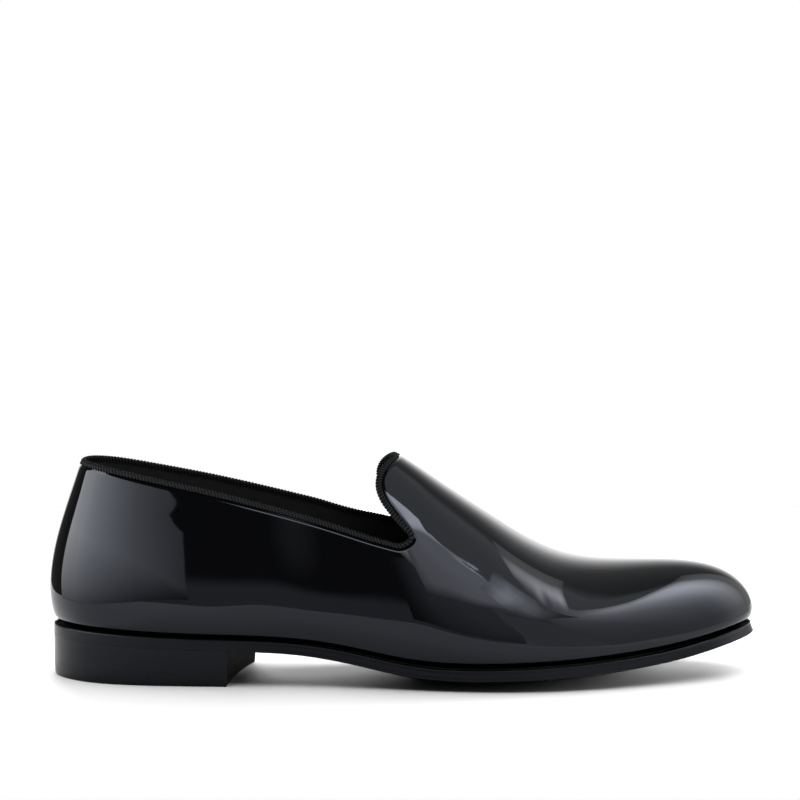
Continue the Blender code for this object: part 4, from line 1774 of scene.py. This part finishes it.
@dataclass
class Studio:
    """Floor, lights and camera.

    Attributes:
        softboxes: The dome's lights.
        lamps: Lamps that light the floor alone.
        panels: Panels that stand near the shoe.
        room: Brightness of the dark room between them.
        backdrop: Brightness of what the camera sees behind the shoe.
        floor_x: Where the floor begins and ends along the shoe, in metres.
        floor_y: Where it begins and ends across it.
        camera_pitch: Degrees that the camera looks down.
        camera_distance: From the point that it aims at, in metres.
        camera_aim: That point.
        pixels_per_mm: Scale of the picture at that distance.
        picture: Width of the picture in pixels.
        sensor: Width of the camera's sensor in millimetres.
        clip: Nearest and farthest distance that the camera sees, in metres.
    """

    softboxes: tuple[Softbox, ...] = (
        Softbox("ceiling", (8.0, 142.0), (40.0, 84.0), (1.4, 0.9), (14.0, 26.0, 10.0, 6.0)),
        Softbox("right front wall", (2.0, 70.0), (-30.0, 46.0), (0.95, 0.95), (14.0, 10.0, 2.0, 6.0)),
        Softbox("front dim", (-42.0, 18.0), (-30.0, 8.0), (0.38, 0.60), (8.0, 10.0, 2.0, 7.0)),
        Softbox("back ceiling", (118.0, 180.0), (8.0, 78.0), (0.25, 0.25), (8.0, 0.1, 6.0, 4.0)),
        Softbox("back wall left", (-180.0, -148.0), (-30.0, 14.0), (1.5, 1.5), (0.1, 6.0, 4.0, 6.0)),
        Softbox("back wall right", (130.0, 180.0), (-30.0, 44.0), (1.75, 1.75), (42.0, 0.1, 4.0, 36.0)),
    )
    lamps: tuple[FloorLight, ...] = (
        FloorLight("high", 0.0, 82.0, 96.0, 21.5),
        FloorLight("low", -7.0, 12.0, 24.0, 27.0),
        FloorLight("toe side", 60.0, 10.0, 30.0, 18.0),
    )
    panels: tuple[Panel, ...] = (
        Panel(
            "left panel",
            low=((-177.0, -418.0, 0.0), (-296.0, 47.0, 0.0)),
            high=((-177.0, -418.0, 205.0), (-296.0, 47.0, 330.0)),
            strength=6.4,
            along=((0.0, 0.15), (0.21, 0.25), (0.375, 0.36), (0.54, 0.56), (0.71, 0.83), (0.83, 1.0),
                   (1.0, 0.74)),
            upward=((0.0, 0.22), (0.12, 0.55), (0.27, 1.0), (1.0, 1.0)),
        ),
        Panel(
            "right panel",
            low=((255.0, -190.0, 0.0), (255.0, 105.0, 0.0)),
            high=((175.0, -190.0, 235.0), (175.0, 105.0, 235.0)),
            strength=10.0,
            along=((0.0, 0.02), (0.27, 0.08), (0.42, 0.25), (0.50, 0.50), (0.58, 0.88), (0.66, 1.0),
                   (0.75, 0.6), (0.83, 0.1), (1.0, 0.0)),
            upward=((0.0, 0.06), (0.18, 0.12), (0.35, 0.32), (0.5, 0.52), (0.62, 0.72), (0.72, 0.87),
                    (0.82, 1.0), (0.92, 0.9), (1.0, 0.2)),
            base=0.9,
        ),
        Panel(
            "front panel",
            low=((-20.0, -300.0, 118.0), (190.0, -300.0, 268.0)),
            high=((-20.0, -300.0, 400.0), (300.0, -300.0, 640.0)),
            strength=11.0,
            along=((0.0, 0.5), (0.12, 0.85), (0.5, 1.0), (1.0, 1.0)),
            upward=((0.0, 0.08), (0.10, 0.27), (0.4, 0.31), (0.66, 0.30), (0.76, 0.7), (0.88, 1.0),
                    (1.0, 1.0)),
        ),
        Panel(
            "ball panel",
            low=((-92.0, -305.0, 8.0), (110.0, -305.0, 8.0)),
            high=((-92.0, -305.0, 170.0), (110.0, -305.0, 235.0)),
            strength=0.8,
            along=((0.0, 0.15), (0.15, 0.5), (0.35, 0.85), (0.7, 1.0), (1.0, 1.0)),
            upward=((0.0, 0.5), (0.2, 0.7), (0.5, 0.9), (1.0, 1.0)),
        ),
        Panel(
            "collar panel",
            low=((-120.0, -300.0, 205.0), (-20.0, -300.0, 175.0)),
            high=((-120.0, -300.0, 400.0), (-20.0, -300.0, 400.0)),
            strength=5.0,
            along=((0.0, 0.4), (0.3, 1.0), (0.8, 1.0), (1.0, 0.7)),
            upward=((0.0, 0.1), (0.12, 1.0), (1.0, 1.0)),
        ),
        Panel(
            "joining strip",
            low=((166.0, -370.0, 258.0), (178.0, -80.0, 205.0)),
            high=((140.0, -370.0, 345.0), (166.0, -80.0, 266.0)),
            strength=6.5,
            along=((0.0, 0.6), (0.35, 0.8), (0.6, 1.0), (0.8, 0.8), (1.0, 0.35)),
            upward=((0.0, 0.15), (0.2, 0.3), (0.35, 0.55), (0.5, 0.95), (0.65, 1.0), (0.8, 0.75),
                    (1.0, 0.5)),
        ),
    )
    room: float = 0.10
    backdrop: float = 1.0
    floor_x: Span = (-0.315, 1.6)
    floor_y: Span = (-0.25, 0.6)
    camera_pitch: float = 4.7
    camera_distance: float = 1.3
    camera_aim: Point = (-0.0011, 0.0, 0.1173)
    pixels_per_mm: float = 2.352
    picture: float = 800.0
    sensor: float = 36.0
    clip: Span = (0.05, 50.0)

    def build_dome(self) -> None:
        """Makes the studio's lights: a dark room with softboxes, in front of a white backdrop."""
        world = bpy.data.worlds.new("studio")
        bpy.context.scene.world = world
        world.use_nodes = True
        tree = world.node_tree
        tree.nodes.clear()
        place = tree.nodes.new("ShaderNodeTexCoord")
        parts = tree.nodes.new("ShaderNodeSeparateXYZ")
        tree.links.new(place.outputs["Generated"], parts.inputs["Vector"])
        x, y, z = (parts.outputs[name] for name in "XYZ")
        turn = math_node(tree, "ARCTAN2", x, math_node(tree, "MULTIPLY", y, -1.0))
        azimuth = math_node(tree, "DEGREES", turn)
        elevation = math_node(tree, "DEGREES", math_node(tree, "ARCSINE", z))
        light = dome_light(tree, self.room, "room")
        for box in self.softboxes:
            added = tree.nodes.new("ShaderNodeAddShader")
            tree.links.new(light, added.inputs[0])
            tree.links.new(box.light(tree, azimuth, elevation), added.inputs[1])
            light = added.outputs["Shader"]
        ray = tree.nodes.new("ShaderNodeLightPath")
        seen = tree.nodes.new("ShaderNodeMixShader")
        result = tree.nodes.new("ShaderNodeOutputWorld")
        tree.links.new(ray.outputs["Is Camera Ray"], seen.inputs["Fac"])
        tree.links.new(light, seen.inputs[1])
        tree.links.new(dome_light(tree, self.backdrop, "backdrop"), seen.inputs[2])
        tree.links.new(seen.outputs["Shader"], result.inputs["Surface"])

    def build_floor(self) -> None:
        """Lays the pale floor and hangs the lamps that light it."""
        (left, right), (front, back) = self.floor_x, self.floor_y
        corners = [[left, front, 0.0], [right, front, 0.0], [right, back, 0.0], [left, back, 0.0]]
        floor = make_object("floor", np.array(corners) / MM, [[0, 1, 2, 3]], PALE_FLOOR)
        lit = bpy.data.collections.new("lit_by_lamps")
        lit.objects.link(floor)
        for lamp in self.lamps:
            lamp.build(lit)

    def build_camera(self) -> None:
        """Places the camera at the photograph's angle."""
        pitch = math.radians(self.camera_pitch)
        data = bpy.data.cameras.new("camera")
        data.sensor_width = self.sensor
        focal_pixels = self.pixels_per_mm * self.camera_distance / MM
        data.lens = focal_pixels * data.sensor_width / self.picture
        data.clip_start, data.clip_end = self.clip
        camera = bpy.data.objects.new("camera", data)
        aim_x, aim_y, aim_z = self.camera_aim
        camera.location = (
            aim_x,
            aim_y - self.camera_distance * math.cos(pitch),
            aim_z + self.camera_distance * math.sin(pitch),
        )
        camera.rotation_euler = (math.pi / 2.0 - pitch, 0.0, 0.0)
        bpy.context.scene.collection.objects.link(camera)
        bpy.context.scene.camera = camera

    def build(self) -> None:
        """Makes the whole studio."""
        bpy.context.scene.view_settings.view_transform = "Standard"
        self.build_dome()
        for panel in self.panels:
            panel.build()
        self.build_floor()
        self.build_camera()


def main() -> None:
    """Builds the shoe and the studio."""
    logging.basicConfig(level=logging.INFO, format="%(name)s: %(message)s")
    last = Last()
    upper = Upper(last)
    for assembly in (upper, CollarRibbon(upper), Sole(last), Heel(last), Studio()):
        assembly.build()
        LOG.info("%s is built", type(assembly).__name__)


if __name__ == "__main__":
    main()
